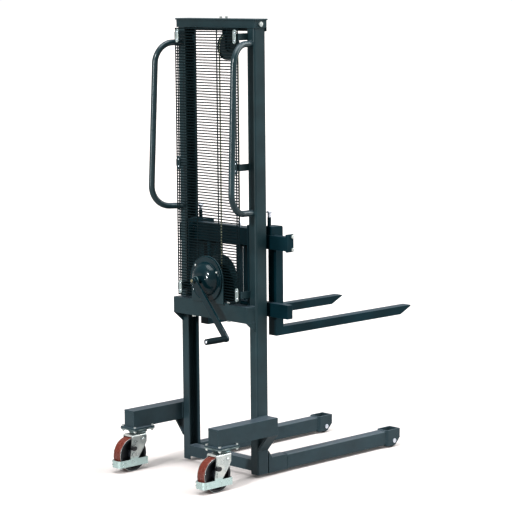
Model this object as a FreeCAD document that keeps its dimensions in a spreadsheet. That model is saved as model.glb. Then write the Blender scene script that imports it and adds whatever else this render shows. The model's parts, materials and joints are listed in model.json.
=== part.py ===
"""Hand winch stacker: a mast on two legs, with a fork carriage that a wire rope lifts."""
import FreeCAD
import Part
import math
import os
import Sketcher
from FreeCAD import Placement, Rotation, Vector

# Driving sizes in millimetres. X runs across the machine, Y points along the forks, Z is up.
SIZES = {
    # mast
    "mast_width": 400.0, "upright_depth": 55.0, "upright_flange": 35.0, "upright_wall": 5.0,
    "upright_bend": 7.0, "top_height": 1630.0, "top_plate": 5.0, "top_overhang": 6.0,
    "skirt_height": 27.0, "skirt_wall": 3.0, "apron_drop": 12.0, "cap_screw": 9.0,
    # base
    "foot_clear": 11.0, "leg_width": 40.0, "leg_height": 55.0, "leg_wall": 4.0, "leg_reach": 669.0,
    "leg_bend": 5.0, "shoe_length": 95.0, "toe_run": 16.0, "toe_rise": 26.0,
    "tie_depth": 40.0, "tie_height": 40.0, "tie_low": 24.0,
    "head_width": 54.0, "head_length": 72.0, "head_wall": 5.0, "head_low": 8.0, "head_high": 69.0,
    "head_chamfer": 26.0, "head_bend": 9.0,
    "roller_radius": 25.0, "roller_width": 38.0, "roller_axle_set": 40.0, "roller_crown": 3.0,
    # rear castor beams
    "beam_width": 52.0, "beam_height": 62.0, "beam_wall": 4.0, "beam_rear": 237.0, "beam_front": 51.0,
    "beam_bottom": 160.0, "beam_cap": 3.0, "brace_plate": 6.0, "brace_drop": 62.0,
    # castors
    "castor_back": 197.0, "castor_trail": 39.0, "wheel_radius": 62.5, "wheel_width": 38.0,
    "tread_depth": 6.0, "tread_crown": 3.0, "core_rim": 5.0, "core_web": 13.0, "hub_radius": 19.0,
    "hub_width": 43.0, "castor_axle": 12.0, "axle_head": 9.0, "axle_head_height": 3.0,
    "plate_width": 80.0, "plate_length": 95.0, "plate_thick": 5.0, "plate_bolt_edge": 7.0,
    "race_radius": 34.0, "race_height": 15.0, "yoke_wall": 3.0, "yoke_bend": 6.0, "yoke_step": 1.0,
    "yoke_foot_drop": 16.0, "yoke_foot_rear": 18.0, "yoke_foot_front": 18.0, "yoke_knee_front": 45.0,
    "yoke_knee_rise": 33.0, "yoke_crown_front": 60.0, "yoke_crown_rear": 8.0, "yoke_shoulder_rise": 58.0,
    "yoke_panel_rise": 50.0, "yoke_lip": 8.0,
    "guard_wall": 2.0, "guard_gap": 3.5, "guard_front": 64.5, "guard_low": 20.0, "guard_bend": 12.0,
    "guard_lip": 8.0,
    "brake_rise": 25.0, "brake_back": 7.0, "brake_radius": 7.5, "brake_half": 3.5, "brake_thick": 11.0,
    "brake_pin": 4.0, "brake_pin_depth": 6.0,
    # push handles
    "handle_tube": 22.0, "handle_top": 1544.0, "handle_low": 958.0, "handle_back_top": 107.0,
    "handle_back_low": 128.0, "handle_splay": 29.0, "handle_bend": 76.0, "handle_root_drop": 5.0,
    # winch crossbar
    "bar_low": 564.0, "crossbar_height": 58.0, "crossbar_depth": 42.0, "crossbar_wall": 4.0,
    "crossbar_inset": 6.0, "gusset_drop": 36.0, "gusset_plate": 5.0,
    # rope guard
    "mesh_half": 162.0, "mesh_low": 634.0, "mesh_pitch": 10.0, "mesh_wire": 2.6, "mesh_back": 43.0,
    "mesh_rib": 55.0, "mesh_edge_gap": 11.0, "mesh_window": 40.0, "clip_width": 16.0, "clip_height": 50.0,
    "clip_thick": 4.0, "clip_inset": 12.0, "bracket_height": 24.0, "bracket_plate": 4.0,
    # winch
    "winch_axis_rise": 85.0, "winch_half": 83.0, "winch_plate": 5.0, "winch_gap": 61.0, "winch_front": 19.0,
    "winch_base_half": 102.0, "winch_bolt_x": 92.0, "winch_bolt_edge": 8.0,
    "drum_radius": 31.7, "drum_flange": 50.0, "drum_flange_thick": 3.0, "drum_side_gap": 2.0,
    "shaft": 16.0, "shaft_grip": 13.0, "cover_radius": 79.0, "cover_rim": 6.0, "dome_radius": 56.0,
    "dome_depth": 32.0, "dome_nose": 18.0, "cover_bolt_circle": 68.0, "cover_bolt": 4.5, "cover_wall": 2.5,
    "crank_length": 251.0, "crank_back": 66.0, "crank_arm": 24.0, "crank_plate": 8.0, "crank_hub": 13.5,
    "crank_nut": 10.5, "grip_length": 92.0, "grip_radius": 10.5, "grip_belly": 0.6, "grip_spindle": 12.0,
    # rope and pulley
    "rope": 5.0, "rope_seat": 0.3, "rope_pitch": 5.8, "pulley_drop": 98.0, "pulley_rope_radius": 44.5,
    "pulley_rim": 4.0, "pulley_width": 15.0, "pulley_axle": 12.0, "pulley_axle_head": 8.5,
    "hanger_plate": 4.0, "hanger_width": 40.0, "hanger_gap": 0.5, "hanger_foot": 22.0,
    "hanger_bolt_x": 14.5, "hanger_bolt_y": 10.0, "hanger_bolt": 5.0, "hanger_bolt_height": 8.0,
    # carriage and forks
    "fork_bar_gap": 17.0, "fork_bar_thick": 25.0, "fork_bar_height": 50.0, "fork_bar_half": 283.0,
    "upper_bar_low": 818.0, "lower_bar_low": 576.0, "cross_tube_height": 60.0, "cross_tube_wall": 4.0,
    "cross_tube_set": 27.0, "cross_tube_rise": 14.0, "side_plate": 8.0, "side_gap": 4.0,
    "side_plate_set": 1.0, "side_plate_over": 16.0, "post_plate": 7.0, "post_depth": 27.0,
    "post_inner": 50.0, "post_outer": 86.0,
    "guide_roller_width": 24.0, "guide_roller_gap": 1.6, "guide_axle": 12.0, "guide_axle_inset": 36.0,
    "stop_thick": 8.0, "stop_reach": 7.0, "stop_over": 9.0, "stop_under": 4.0, "stop_bolt_inset": 4.0,
    "fork_width": 40.0, "fork_height": 30.0, "fork_shank": 34.0, "fork_length": 710.0, "fork_low": 505.0,
    "fork_centre": 181.0, "fork_hook_height": 30.0, "fork_corner": 7.0, "fork_tip_bevel": 30.0,
    "fork_tip_land": 4.0, "pin_radius": 4.0, "pin_sleeve_radius": 6.5, "pin_sleeve_height": 32.0,
    "pin_head_radius": 10.5, "pin_head_height": 8.0, "pin_neck": 14.0, "pin_neck_radius": 6.2,
    "pin_groove_depth": 10.0, "pin_back": 9.0, "anchor_width": 26.0, "anchor_height": 14.0,
    # fasteners and fits
    "bolt_radius": 7.0, "plate_bolt": 5.5, "bolt_height": 5.5, "run_clear": 0.05, "slide_clear": 0.4,
    "overrun": 1.0,
}

# Counts, angles in degrees and shares of other sizes
WINDING_TURNS = 3
EDGE_TIES = 3
CRANK_LEAN = 41
COVER_BOLT_TURNS = (26, 137, 274)
GUARD_LEVEL_SHARES = (0.03, 0.51, 0.97)
PULLEY_SET_SHARE = 0.6
BEND_SHARE = 1 - math.sqrt(0.5)
RACE_FOOT_SHARE, RACE_WAIST_SHARE, RACE_TOP_SHARE = 0.82, 0.4, 0.86
DOME_SHARES = ((1.0, 0.0), (0.92, 0.4), (0.7, 0.78))
GROOVE_LIP_SHARE, GROOVE_BED_SHARE = 0.4, 0.25
PIN_HEAD_SHARES = ((0.6, 0.0), (1.0, 0.3), (1.0, 0.7), (0.7, 1.0))

doc = FreeCAD.newDocument("HandStacker")
sheet = doc.addObject("Spreadsheet::Sheet", "Sizes")


class Dim:
    """A length: the formula that binds it to the sheet, and its value in millimetres."""

    def __init__(self, formula, value):
        self.formula = formula
        self.value = value

    def _join(self, sign, other, value):
        text = other.formula if isinstance(other, Dim) else repr(other)
        return Dim(f"({self.formula} {sign} {text})", value)

    def __add__(self, other):
        return self._join("+", other, self.value + float(other))

    def __sub__(self, other):
        return self._join("-", other, self.value - float(other))

    def __mul__(self, other):
        return self._join("*", other, self.value * float(other))

    def __truediv__(self, other):
        return self._join("/", other, self.value / float(other))

    def __neg__(self):
        return Dim(f"(0 - {self.formula})", -self.value)

    def __float__(self):
        return self.value


class Sheet:
    """The driving sizes by name, each as a Dim."""


size = Sheet()
for row, (alias, value) in enumerate(SIZES.items(), start=1):
    sheet.set(f"A{row}", alias)
    sheet.set(f"B{row}", str(value))
    sheet.setAlias(f"B{row}", alias)
    setattr(size, alias, Dim(f"Sizes.{alias}", value))
doc.recompute()

ZERO = Dim("0", 0.0)
AXIS_X = Rotation(Vector(0, 1, 0), 90)
AXIS_Y = Rotation(Vector(1, 0, 0), -90)
AXIS_Z = Rotation()
SIDES = (("left", -1), ("right", 1))
nodes = {}
frame_bolts = []
front_axles = []


def place(obj, point, rotation=None):
    """Bind an object's position to three lengths, turned as given."""
    if rotation is not None:
        obj.Placement = Placement(Vector(), rotation)
    for axis, length in zip("xyz", point):
        obj.setExpression(f"Placement.Base.{axis}", length.formula)
    return obj


def box(low, high):
    """A block between two corners."""
    obj = doc.addObject("Part::Box", "Block")
    for name, start, end in zip(("Length", "Width", "Height"), low, high):
        obj.setExpression(name, (end - start).formula)
    return place(obj, low)


def rod(radius, start, length, axis):
    """A round bar from a point along an axis."""
    obj = doc.addObject("Part::Cylinder", "Rod")
    obj.setExpression("Radius", radius.formula)
    obj.setExpression("Height", length.formula)
    return place(obj, start, axis)


def bolt_head(radius, start, length, axis):
    """A six-sided bolt head or nut from a point along an axis."""
    obj = doc.addObject("Part::Prism", "BoltHead")
    obj.Polygon = 6
    obj.setExpression("Circumradius", radius.formula)
    obj.setExpression("Height", length.formula)
    return place(obj, start, axis)


def cut(base, *tools):
    """A piece with other pieces taken out of it."""
    for tool in tools:
        result = doc.addObject("Part::Cut", "Cut")
        result.Base = base
        result.Tool = tool
        base = result
    return base


def common(base, tool):
    """What two pieces share."""
    result = doc.addObject("Part::Common", "Common")
    result.Base = base
    result.Tool = tool
    return result


def fuse(*pieces):
    """Pieces welded into one solid."""
    result = doc.addObject("Part::MultiFuse", "Weldment")
    result.Shapes = list(pieces)
    result.Refine = True
    return result


def across(sign, near, far):
    """The low and high X of a span given by its distances from the middle plane."""
    return (near, far) if sign > 0 else (-far, -near)


def side_box(sign, x_span, y_span, z_span):
    """A block on the left or right of the middle plane."""
    low_x, high_x = across(sign, *x_span)
    return box((low_x, y_span[0], z_span[0]), (high_x, y_span[1], z_span[1]))


def point_on(item):
    """A sketch point from two lengths."""
    return Vector(float(item[0]), float(item[1]), 0)


def sketch_in(body, plane, outline, holes=()):
    """A sketch of lines and arcs. A step of two points is an arc through the first to the second."""
    sketch = body.newObject("Sketcher::SketchObject", "Profile")
    support = [face for face in body.Origin.OriginFeatures if face.Role == plane][0]
    sketch.AttachmentSupport = [(support, "")]
    sketch.MapMode = "FlatFace"
    here = point_on(outline[0])
    steps = list(outline[1:]) + [outline[0]]
    edges = []
    for step in steps:
        if isinstance(step[0], tuple):
            edges.append(Part.Arc(here, point_on(step[0]), point_on(step[1])))
            here = point_on(step[1])
        elif (point_on(step) - here).Length > 0:
            edges.append(Part.LineSegment(here, point_on(step)))
            here = point_on(step)
    for edge in edges:
        sketch.addGeometry(edge, False)
    for centre, radius in holes:
        sketch.addGeometry(Part.Circle(point_on(centre), Vector(0, 0, 1), float(radius)), False)
    return sketch


def pad(plane, outline, thickness, origin, rotation=None, holes=()):
    """A flat piece cut to an outline, padded to its thickness."""
    body = doc.addObject("PartDesign::Body", "Plate")
    sketch = sketch_in(body, plane, outline, holes)
    feature = body.newObject("PartDesign::Pad", "Pad")
    feature.Profile = sketch
    feature.setExpression("Length", thickness.formula)
    return place(body, origin, rotation)


def turned(outline, origin, axis):
    """A piece turned from a profile of radius and length along its axis."""
    body = doc.addObject("PartDesign::Body", "Turned")
    sketch = sketch_in(body, "XY_Plane", outline)
    feature = body.newObject("PartDesign::Revolution", "Revolution")
    feature.Profile = sketch
    feature.ReferenceAxis = (sketch, ["V_Axis"])
    feature.Angle = 360
    return place(body, origin, axis)


def rounded_rear(low, high, radius):
    """The outline of a rectangle whose two rear corners are round."""
    near = radius * BEND_SHARE
    (left, rear), (right, front) = low, high
    return [
        (left + radius, rear), (right - radius, rear), ((right - near, rear + near), (right, rear + radius)),
        (right, front), (left, front), (left, rear + radius),
        ((left + near, rear + near), (left + radius, rear)),
    ]


def formed(shape):
    """A piece whose shape is worked out from the sheet's sizes."""
    obj = doc.addObject("Part::Feature", "Formed")
    obj.Shape = shape
    return obj


def node(name, *pieces):
    """Name a sub-part. Several pieces stay separate solids of one group."""
    if len(pieces) == 1:
        result = pieces[0]
    else:
        result = doc.addObject("Part::Compound", "Group")
        result.Links = list(pieces)
    result.Label = name
    nodes[name] = result


# The turned profiles lie along the sketch's upright axis, so these turns lay them along X, Y or Z.
TURN_X = Rotation(Vector(0, 0, 1), -90)
TURN_Y = Rotation()
TURN_Z = Rotation(Vector(1, 0, 0), 90)

# Places that several pieces share
half_mast = size.mast_width / 2
flange_tip = half_mast - size.upright_flange
fork_set = size.upright_depth + size.fork_bar_gap + size.fork_bar_thick + size.slide_clear
front_reach = fork_set + size.fork_length
guard_back = size.castor_trail + size.wheel_radius + size.guard_gap + size.guard_wall
mast_y = (size.castor_back + guard_back - front_reach) / 2
mast_front = mast_y + size.upright_depth
plate_top = size.top_height - size.top_plate
skirt_low = plate_top - size.skirt_height
crossbar_top = size.bar_low + size.crossbar_height
crossbar_rear = mast_y - size.crossbar_depth
castor_x = half_mast + size.beam_width / 2
swivel_y = mast_y - size.castor_back
axle_y = swivel_y - size.castor_trail
castor_plate_low = size.beam_bottom - size.plate_thick * 2
winch_z = crossbar_top + size.winch_axis_rise
winch_front = mast_y + size.winch_front
winch_rear = winch_front - size.winch_gap - size.winch_plate * 2
rope_x = size.drum_radius + size.rope / 2 + size.rope_seat
pulley_z = size.top_height - size.pulley_drop
pulley_y = mast_y + size.upright_depth * PULLEY_SET_SHARE
rope_rear = pulley_y - size.pulley_rope_radius
rope_front = pulley_y + size.pulley_rope_radius
bar_rear = mast_front + size.fork_bar_gap
bar_front = bar_rear + size.fork_bar_thick
upper_bar_top = size.upper_bar_low + size.fork_bar_height


def make_uprights():
    """Rolled U channels with rounded outer bends, open towards each other."""
    flange, depth = size.upright_flange, size.upright_depth
    wall, bend = size.upright_wall, size.upright_bend
    near = bend * BEND_SHARE
    outline = [
        (ZERO, ZERO), (flange - bend, ZERO), ((flange - near, near), (flange, bend)),
        (flange, depth - bend), ((flange - near, depth - near), (flange - bend, depth)), (ZERO, depth),
        (ZERO, depth - wall), (flange - wall, depth - wall), (flange - wall, wall), (ZERO, wall),
    ]
    low = size.foot_clear
    height = plate_top - low
    half_turn = Rotation(Vector(0, 0, 1), 180)
    node("left_upright", pad("XY_Plane", outline, height, (-flange_tip, mast_front, low), half_turn))
    node("right_upright", pad("XY_Plane", outline, height, (flange_tip, mast_y, low)))


def make_top_beam():
    """A cap that closes the mast, its skirt with a deeper front apron, and the screws through it."""
    over, wall = size.top_overhang, size.skirt_wall
    plate = box((-half_mast - over, mast_y - over, plate_top),
                (half_mast + over, mast_front + over, size.top_height))
    outer = box((-half_mast - wall, mast_y - wall, skirt_low),
                (half_mast + wall, mast_front + wall, plate_top))
    inner = box((-half_mast, mast_y, skirt_low - size.overrun), (half_mast, mast_front, plate_top))
    apron = box((-half_mast - wall, mast_front, skirt_low - size.apron_drop),
                (half_mast + wall, mast_front + wall, plate_top))
    node("top_beam", fuse(plate, cut(outer, inner), apron))
    middle = (mast_y + mast_front) / 2
    height = skirt_low + size.skirt_height / 2
    for _, sign in SIDES:
        low, _ = across(sign, half_mast + wall, half_mast + wall + size.bolt_height)
        frame_bolts.append(rod(size.cap_screw, (low, middle, height), size.bolt_height, AXIS_X))
        end_x = rope_x + size.hanger_bolt_x * sign
        frame_bolts.append(bolt_head(size.hanger_bolt, (end_x, mast_y + size.hanger_bolt_y, size.top_height),
                                     size.hanger_bolt_height, AXIS_Z))


def rounded_bar(wide, tall, radius):
    """The outline of a bar whose four corners are round."""
    near = radius * BEND_SHARE
    return [
        (radius, ZERO), (wide - radius, ZERO), ((wide - near, near), (wide, radius)),
        (wide, tall - radius), ((wide - near, tall - near), (wide - radius, tall)),
        (radius, tall), ((near, tall - near), (ZERO, tall - radius)),
        (ZERO, radius), ((near, near), (radius, ZERO)),
    ]


def make_base():
    """Legs of tube in square shoes that butt against the uprights, the rear tie and the roller heads."""
    inner_leg = half_mast - size.leg_width
    leg_top = size.foot_clear + size.leg_height
    shoe_front = mast_front + size.shoe_length
    head_rear = mast_y + size.leg_reach
    wall = size.leg_wall
    section = rounded_bar(size.leg_width, size.leg_height, size.leg_bend)
    corner = [(ZERO, ZERO), (size.toe_run, ZERO), (ZERO, size.toe_rise)]
    for name, sign in SIDES:
        leg_x, _ = across(sign, inner_leg, half_mast)
        toe_x, _ = across(sign, half_mast - wall, half_mast)
        shoe = side_box(sign, (inner_leg, half_mast), (mast_front, shoe_front), (size.foot_clear, leg_top))
        tube = pad("XZ_Plane", section, head_rear - shoe_front, (leg_x, head_rear, size.foot_clear))
        hollow = side_box(sign, (inner_leg + wall, half_mast - wall),
                          (mast_front + wall, head_rear + size.overrun),
                          (size.foot_clear + wall, leg_top - wall))
        toe = pad("YZ_Plane", corner, wall, (toe_x, mast_front, leg_top))
        node(f"{name}_leg", fuse(cut(fuse(shoe, tube), hollow), toe))
        make_roller_head(name, sign, inner_leg, head_rear)
    low, high = size.tie_low, size.tie_low + size.tie_height
    front = mast_y + size.tie_depth
    outer = box((-flange_tip, mast_y, low), (flange_tip, front, high))
    inner = box((-flange_tip, mast_y + wall, low + wall), (flange_tip, front - wall, high - wall))
    node("base_tie", cut(outer, inner))


def make_roller_head(name, sign, inner_leg, head_rear):
    """A housing bent round the front roller, open above and below, with a bevelled toe."""
    wide, long, toe = size.head_width, size.head_length, size.head_chamfer
    wall, bend = size.head_wall, size.head_bend
    spare = (wide - size.leg_width) / 2
    low_x, _ = across(sign, inner_leg - spare, half_mast + spare)
    tall = size.head_high - size.head_low
    shell = pad("XY_Plane", rounded_rear((ZERO, ZERO), (wide, long), bend), tall,
                (low_x, head_rear, size.head_low))
    hollow = pad("XY_Plane", rounded_rear((wall, wall), (wide - wall, long - wall), bend - wall),
                 tall + size.overrun * 2, (low_x, head_rear, size.head_low - size.overrun))
    side = [(ZERO, ZERO), (long - toe, ZERO), (long, toe), (long, tall), (ZERO, tall)]
    profile = pad("YZ_Plane", side, wide, (low_x, head_rear, size.head_low))
    axle_at = head_rear + size.roller_axle_set
    hole, radius = size.castor_axle / 2 + size.run_clear, size.roller_radius
    bore = rod(hole, (low_x - size.overrun, axle_at, radius), wide + size.overrun * 2, AXIS_X)
    node(f"{name}_roller_head", cut(common(shell, profile), hollow, bore))
    crown, width = size.roller_crown, size.roller_width
    middle = (inner_leg + half_mast) / 2 * sign
    outline = [(hole, ZERO), (radius - crown, ZERO), (radius, crown), (radius, width - crown),
               (radius - crown, width), (hole, width)]
    node(f"{name}_front_roller", turned(outline, (middle - width / 2, axle_at, radius), TURN_X))
    shank = rod(size.castor_axle / 2, (low_x, axle_at, radius), wide, AXIS_X)
    heads = []
    for head_x in (low_x - size.axle_head_height, low_x + wide):
        heads.append(rod(size.axle_head, (head_x, axle_at, radius), size.axle_head_height, AXIS_X))
    front_axles.append(fuse(shank, *heads))


def make_castor_beams():
    """Tubes outside the uprights that carry the castors, their end caps and their braces."""
    rear, front = mast_y - size.beam_rear, mast_y + size.beam_front
    top = size.beam_bottom + size.beam_height
    outer_x = half_mast + size.beam_width
    wall, cap = size.beam_wall, size.beam_cap
    caps, braces = [], []
    for name, sign in SIDES:
        tube = cut(
            side_box(sign, (half_mast, outer_x), (rear, front), (size.beam_bottom, top)),
            side_box(sign, (half_mast + wall, outer_x - wall), (rear, front),
                     (size.beam_bottom + wall, top - wall)))
        inside = ((half_mast + wall, outer_x - wall), (size.beam_bottom + wall, top - wall))
        caps.append(side_box(sign, inside[0], (rear, rear + cap), inside[1]))
        caps.append(side_box(sign, inside[0], (front - cap, front), inside[1]))
        braces.append(make_brace(sign))
        x_span = (castor_x - size.plate_width / 2, castor_x + size.plate_width / 2)
        y_span = (swivel_y - size.plate_length / 2, swivel_y + size.plate_length / 2)
        mount = side_box(sign, x_span, y_span, (size.beam_bottom - size.plate_thick, size.beam_bottom))
        node(f"{name}_castor_beam", fuse(tube, mount))
    node("beam_end_caps", *caps)
    node("beam_braces", *braces)


def make_brace(sign):
    """A folded plate that leans from the upright's side up to the beam's outer edge."""
    run, rise, plate = size.beam_width - size.brace_plate, size.brace_drop, size.brace_plate
    outline = [(ZERO, ZERO), (run + plate, rise), (run - plate, rise), (ZERO, plate * 2)]
    low = size.beam_bottom - rise
    if sign > 0:
        return pad("XZ_Plane", outline, size.beam_front, (half_mast, mast_y + size.beam_front, low))
    half_turn = Rotation(Vector(0, 0, 1), 180)
    return pad("XZ_Plane", outline, size.beam_front, (-half_mast, mast_y, low), half_turn)


def make_castors():
    """Swivel castors with a foot guard: plate and race, yoke, wheel and brake knob."""
    plates = []
    half_plate = size.plate_width / 2
    radius, drop = size.race_radius, size.race_height
    race_low = castor_plate_low - drop
    profile = [(ZERO, ZERO), (radius * RACE_FOOT_SHARE, ZERO), (radius, drop * RACE_WAIST_SHARE),
               (radius * RACE_TOP_SHARE, drop), (ZERO, drop)]
    for name, sign in SIDES:
        middle = castor_x * sign
        x_span = (middle - half_plate, middle + half_plate)
        y_span = (swivel_y - size.plate_length / 2, swivel_y + size.plate_length / 2)
        flat = box((x_span[0], y_span[0], castor_plate_low),
                   (x_span[1], y_span[1], castor_plate_low + size.plate_thick))
        plates.append(fuse(flat, turned(profile, (middle, swivel_y, race_low), TURN_Z)))
        edge = size.plate_bolt_edge
        for bolt_x in (x_span[0] + edge, x_span[1] - edge):
            for bolt_y in (y_span[0] + edge, y_span[1] - edge):
                for bolt_z in (size.beam_bottom, castor_plate_low - size.bolt_height):
                    frame_bolts.append(bolt_head(size.plate_bolt, (bolt_x, bolt_y, bolt_z),
                                                 size.bolt_height, AXIS_Z))
        make_yoke(name, middle, race_low - size.slide_clear)
        make_wheel(name, middle)
    node("castor_plates", *plates)


def make_yoke(name, middle, crown_top):
    """A fork pressed from one sheet, the wheel's rivet and a band that guards the foot."""
    wall, bend = size.yoke_wall, size.yoke_bend
    inner = size.hub_width / 2 + size.slide_clear
    wide = inner + wall
    foot_z = size.wheel_radius - size.yoke_foot_drop
    tall = crown_top - foot_z
    near, inner_near = bend * BEND_SHARE, (bend - wall) * BEND_SHARE
    right = wide * 2
    section = [
        (ZERO, ZERO), (wall, ZERO), (wall, tall - bend),
        ((wall + inner_near, tall - wall - inner_near), (bend, tall - wall)), (right - bend, tall - wall),
        ((right - wall - inner_near, tall - wall - inner_near), (right - wall, tall - bend)),
        (right - wall, ZERO), (right, ZERO), (right, tall - bend),
        ((right - near, tall - near), (right - bend, tall)), (bend, tall),
        ((near, tall - near), (ZERO, tall - bend)),
    ]
    rear = size.yoke_foot_rear
    front = rear + size.yoke_crown_front
    crown_rear = rear - size.yoke_crown_rear
    side = [
        (ZERO, ZERO), (rear + size.yoke_foot_front, ZERO),
        (rear + size.yoke_knee_front, size.yoke_knee_rise), (front, size.yoke_shoulder_rise),
        (front, tall), (crown_rear, tall),
    ]
    start_y = axle_y - rear
    folded = pad("XZ_Plane", section, front, (middle - wide, start_y + front, foot_z))
    profile = pad("YZ_Plane", side, right, (middle - wide, start_y, foot_z))
    lip = box((middle - inner, start_y + crown_rear, crown_top - size.yoke_lip),
              (middle + inner, start_y + crown_rear + wall, crown_top - wall))
    panel = [
        (crown_rear, size.yoke_panel_rise), (front - wall, size.yoke_shoulder_rise),
        (front - wall, tall - bend), (crown_rear, tall - bend),
    ]
    panels = []
    for panel_x in (middle - wide - size.yoke_step, middle + wide):
        panels.append(pad("YZ_Plane", panel, size.yoke_step, (panel_x, start_y, foot_z)))
    rivet = []
    for end_x in (middle - wide - size.axle_head_height, middle + wide):
        rivet.append(rod(size.axle_head, (end_x, axle_y, size.wheel_radius), size.axle_head_height, AXIS_X))
    rivet.append(rod(size.castor_axle / 2, (middle - wide, axle_y, size.wheel_radius), right, AXIS_X))
    band = make_foot_guard(middle - wide, right, foot_z)
    pin_from, knob_x = middle + wide, middle + wide + size.yoke_step + size.slide_clear
    pivot_y, pivot_z = axle_y - size.brake_back, size.wheel_radius + size.brake_rise
    pin = rod(size.brake_pin, (pin_from, pivot_y, pivot_z), knob_x - pin_from + size.brake_pin_depth, AXIS_X)
    node(f"{name}_castor_yoke", fuse(common(folded, profile), lip, *panels, *rivet, band, pin))
    tall, half = size.brake_radius, size.brake_half
    outline = [(tall, ZERO), ((tall * 2, tall), (tall, tall * 2)), (tall - half * 2, tall * 2),
               ((-half * 2, tall), (tall - half * 2, ZERO))]
    knob = pad("YZ_Plane", outline, size.brake_thick, (knob_x, pivot_y - tall + half, pivot_z - tall))
    bore = rod(size.brake_pin + size.run_clear, (knob_x - size.overrun, pivot_y, pivot_z),
               size.overrun + size.brake_pin_depth + size.slide_clear, AXIS_X)
    node(f"{name}_brake_knob", cut(knob, bore))


def make_foot_guard(left, width, top):
    """A band round the wheel with round rear corners, its two front ends turned in."""
    wall, low, bend = size.guard_wall, size.guard_low, size.guard_bend
    rear = swivel_y - guard_back
    length = axle_y + size.guard_front - rear
    ring = cut(
        pad("XY_Plane", rounded_rear((ZERO, ZERO), (width, length), bend), top - low, (left, rear, low)),
        pad("XY_Plane", rounded_rear((wall, wall), (width - wall, length - wall), bend - wall),
            top - low + size.overrun * 2, (left, rear, low - size.overrun)))
    side = wall + size.guard_lip
    mouth = box((left + side, rear + length - wall - size.overrun, low - size.overrun),
                (left + width - side, rear + length + size.overrun, top + size.overrun))
    return cut(ring, mouth)


def make_wheel(name, middle):
    """A cast core with a bearing hub inside a bonded tread."""
    radius, width = size.wheel_radius, size.wheel_width
    bore = size.castor_axle / 2 + size.run_clear
    hub, hub_width = size.hub_radius, size.hub_width
    core_radius = radius - size.tread_depth
    rim = core_radius - size.core_rim
    low = (hub_width - width) / 2
    high = low + width
    web_low = (hub_width - size.core_web) / 2
    web_high = web_low + size.core_web
    core = [
        (bore, ZERO), (hub, ZERO), (hub, web_low), (rim, web_low), (rim, low), (core_radius, low),
        (core_radius, high), (rim, high), (rim, web_high), (hub, web_high), (hub, hub_width),
        (bore, hub_width),
    ]
    origin = (middle - hub_width / 2, axle_y, radius)
    node(f"{name}_wheel_core", turned(core, origin, TURN_X))
    crown = size.tread_crown
    tyre = [
        (core_radius, low), (radius - crown, low), (radius, low + crown), (radius, high - crown),
        (radius - crown, high), (core_radius, high),
    ]
    node(f"{name}_wheel_tread", turned(tyre, origin, TURN_X))


def rounded_path(points, radius):
    """A wire of straight runs joined by arcs of one radius."""
    edges = []
    here = points[0]
    for before, corner, after in zip(points, points[1:], points[2:]):
        into = (corner - before).normalize()
        out = (after - corner).normalize()
        turn = into.getAngle(out)
        trim = radius * math.tan(turn / 2)
        start, end = corner - into * trim, corner + out * trim
        bisector = (out - into).normalize()
        middle = corner + bisector * (radius / math.cos(turn / 2) - radius)
        edges.append(Part.LineSegment(here, start).toShape())
        edges.append(Part.Arc(start, middle, end).toShape())
        here = end
    edges.append(Part.LineSegment(here, points[-1]).toShape())
    return Part.Wire(edges)


def tube_along(path, radius):
    """A round bar swept along a wire, with its volume set against section times length."""
    start = path.Edges[0]
    heading = start.tangentAt(start.FirstParameter)
    ring = Part.Wire(Part.makeCircle(radius, start.valueAt(start.FirstParameter), heading))
    solid = path.makePipeShell([ring], True, False)
    print("tube volume share", round(solid.Volume / (math.pi * radius ** 2 * path.Length), 4))
    return solid


def make_handles():
    """Bent tube handles on the rear flanges. They splay outwards and lean back at the bottom."""
    for name, sign in SIDES:
        root_x = float(half_mast - size.upright_flange / 2) * sign
        grip_x = root_x + float(size.handle_splay) * sign
        rear = float(mast_y)
        top, low = float(size.handle_top), float(size.handle_low)
        points = [
            Vector(root_x, rear, top), Vector(grip_x, rear - float(size.handle_back_top), top),
            Vector(grip_x, rear - float(size.handle_back_low), low),
            Vector(root_x, rear, low - float(size.handle_root_drop)),
        ]
        path = rounded_path(points, float(size.handle_bend))
        solid = tube_along(path, float(size.handle_tube / 2))
        behind = Part.makeBox(float(size.mast_width), float(size.upright_depth), float(size.top_height),
                              Vector(root_x - float(half_mast), rear, 0))
        node(f"{name}_handle", formed(solid.cut(behind)))


def make_crossbar():
    """The tube behind the uprights that carries the winch, with end plates and gussets."""
    low, wall, end = size.bar_low, size.crossbar_wall, half_mast - size.crossbar_inset
    tube = cut(
        box((-end, crossbar_rear, low), (end, mast_y, crossbar_top)),
        box((-end, crossbar_rear + wall, low + wall), (end, mast_y - wall, crossbar_top - wall)))
    node("winch_crossbar", tube)
    pieces = []
    plate, depth, drop = size.gusset_plate, size.crossbar_depth, size.gusset_drop
    outline = [(ZERO, drop), (depth, ZERO), (depth, drop)]
    for _, sign in SIDES:
        low_x, _ = across(sign, end - plate, end)
        pieces.append(pad("YZ_Plane", outline, plate, (low_x, crossbar_rear, low - drop)))
        pieces.append(side_box(sign, (end - plate, end), (crossbar_rear + wall, mast_y - wall),
                               (low + wall, crossbar_top - wall)))
    node("crossbar_gussets", *pieces)


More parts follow.
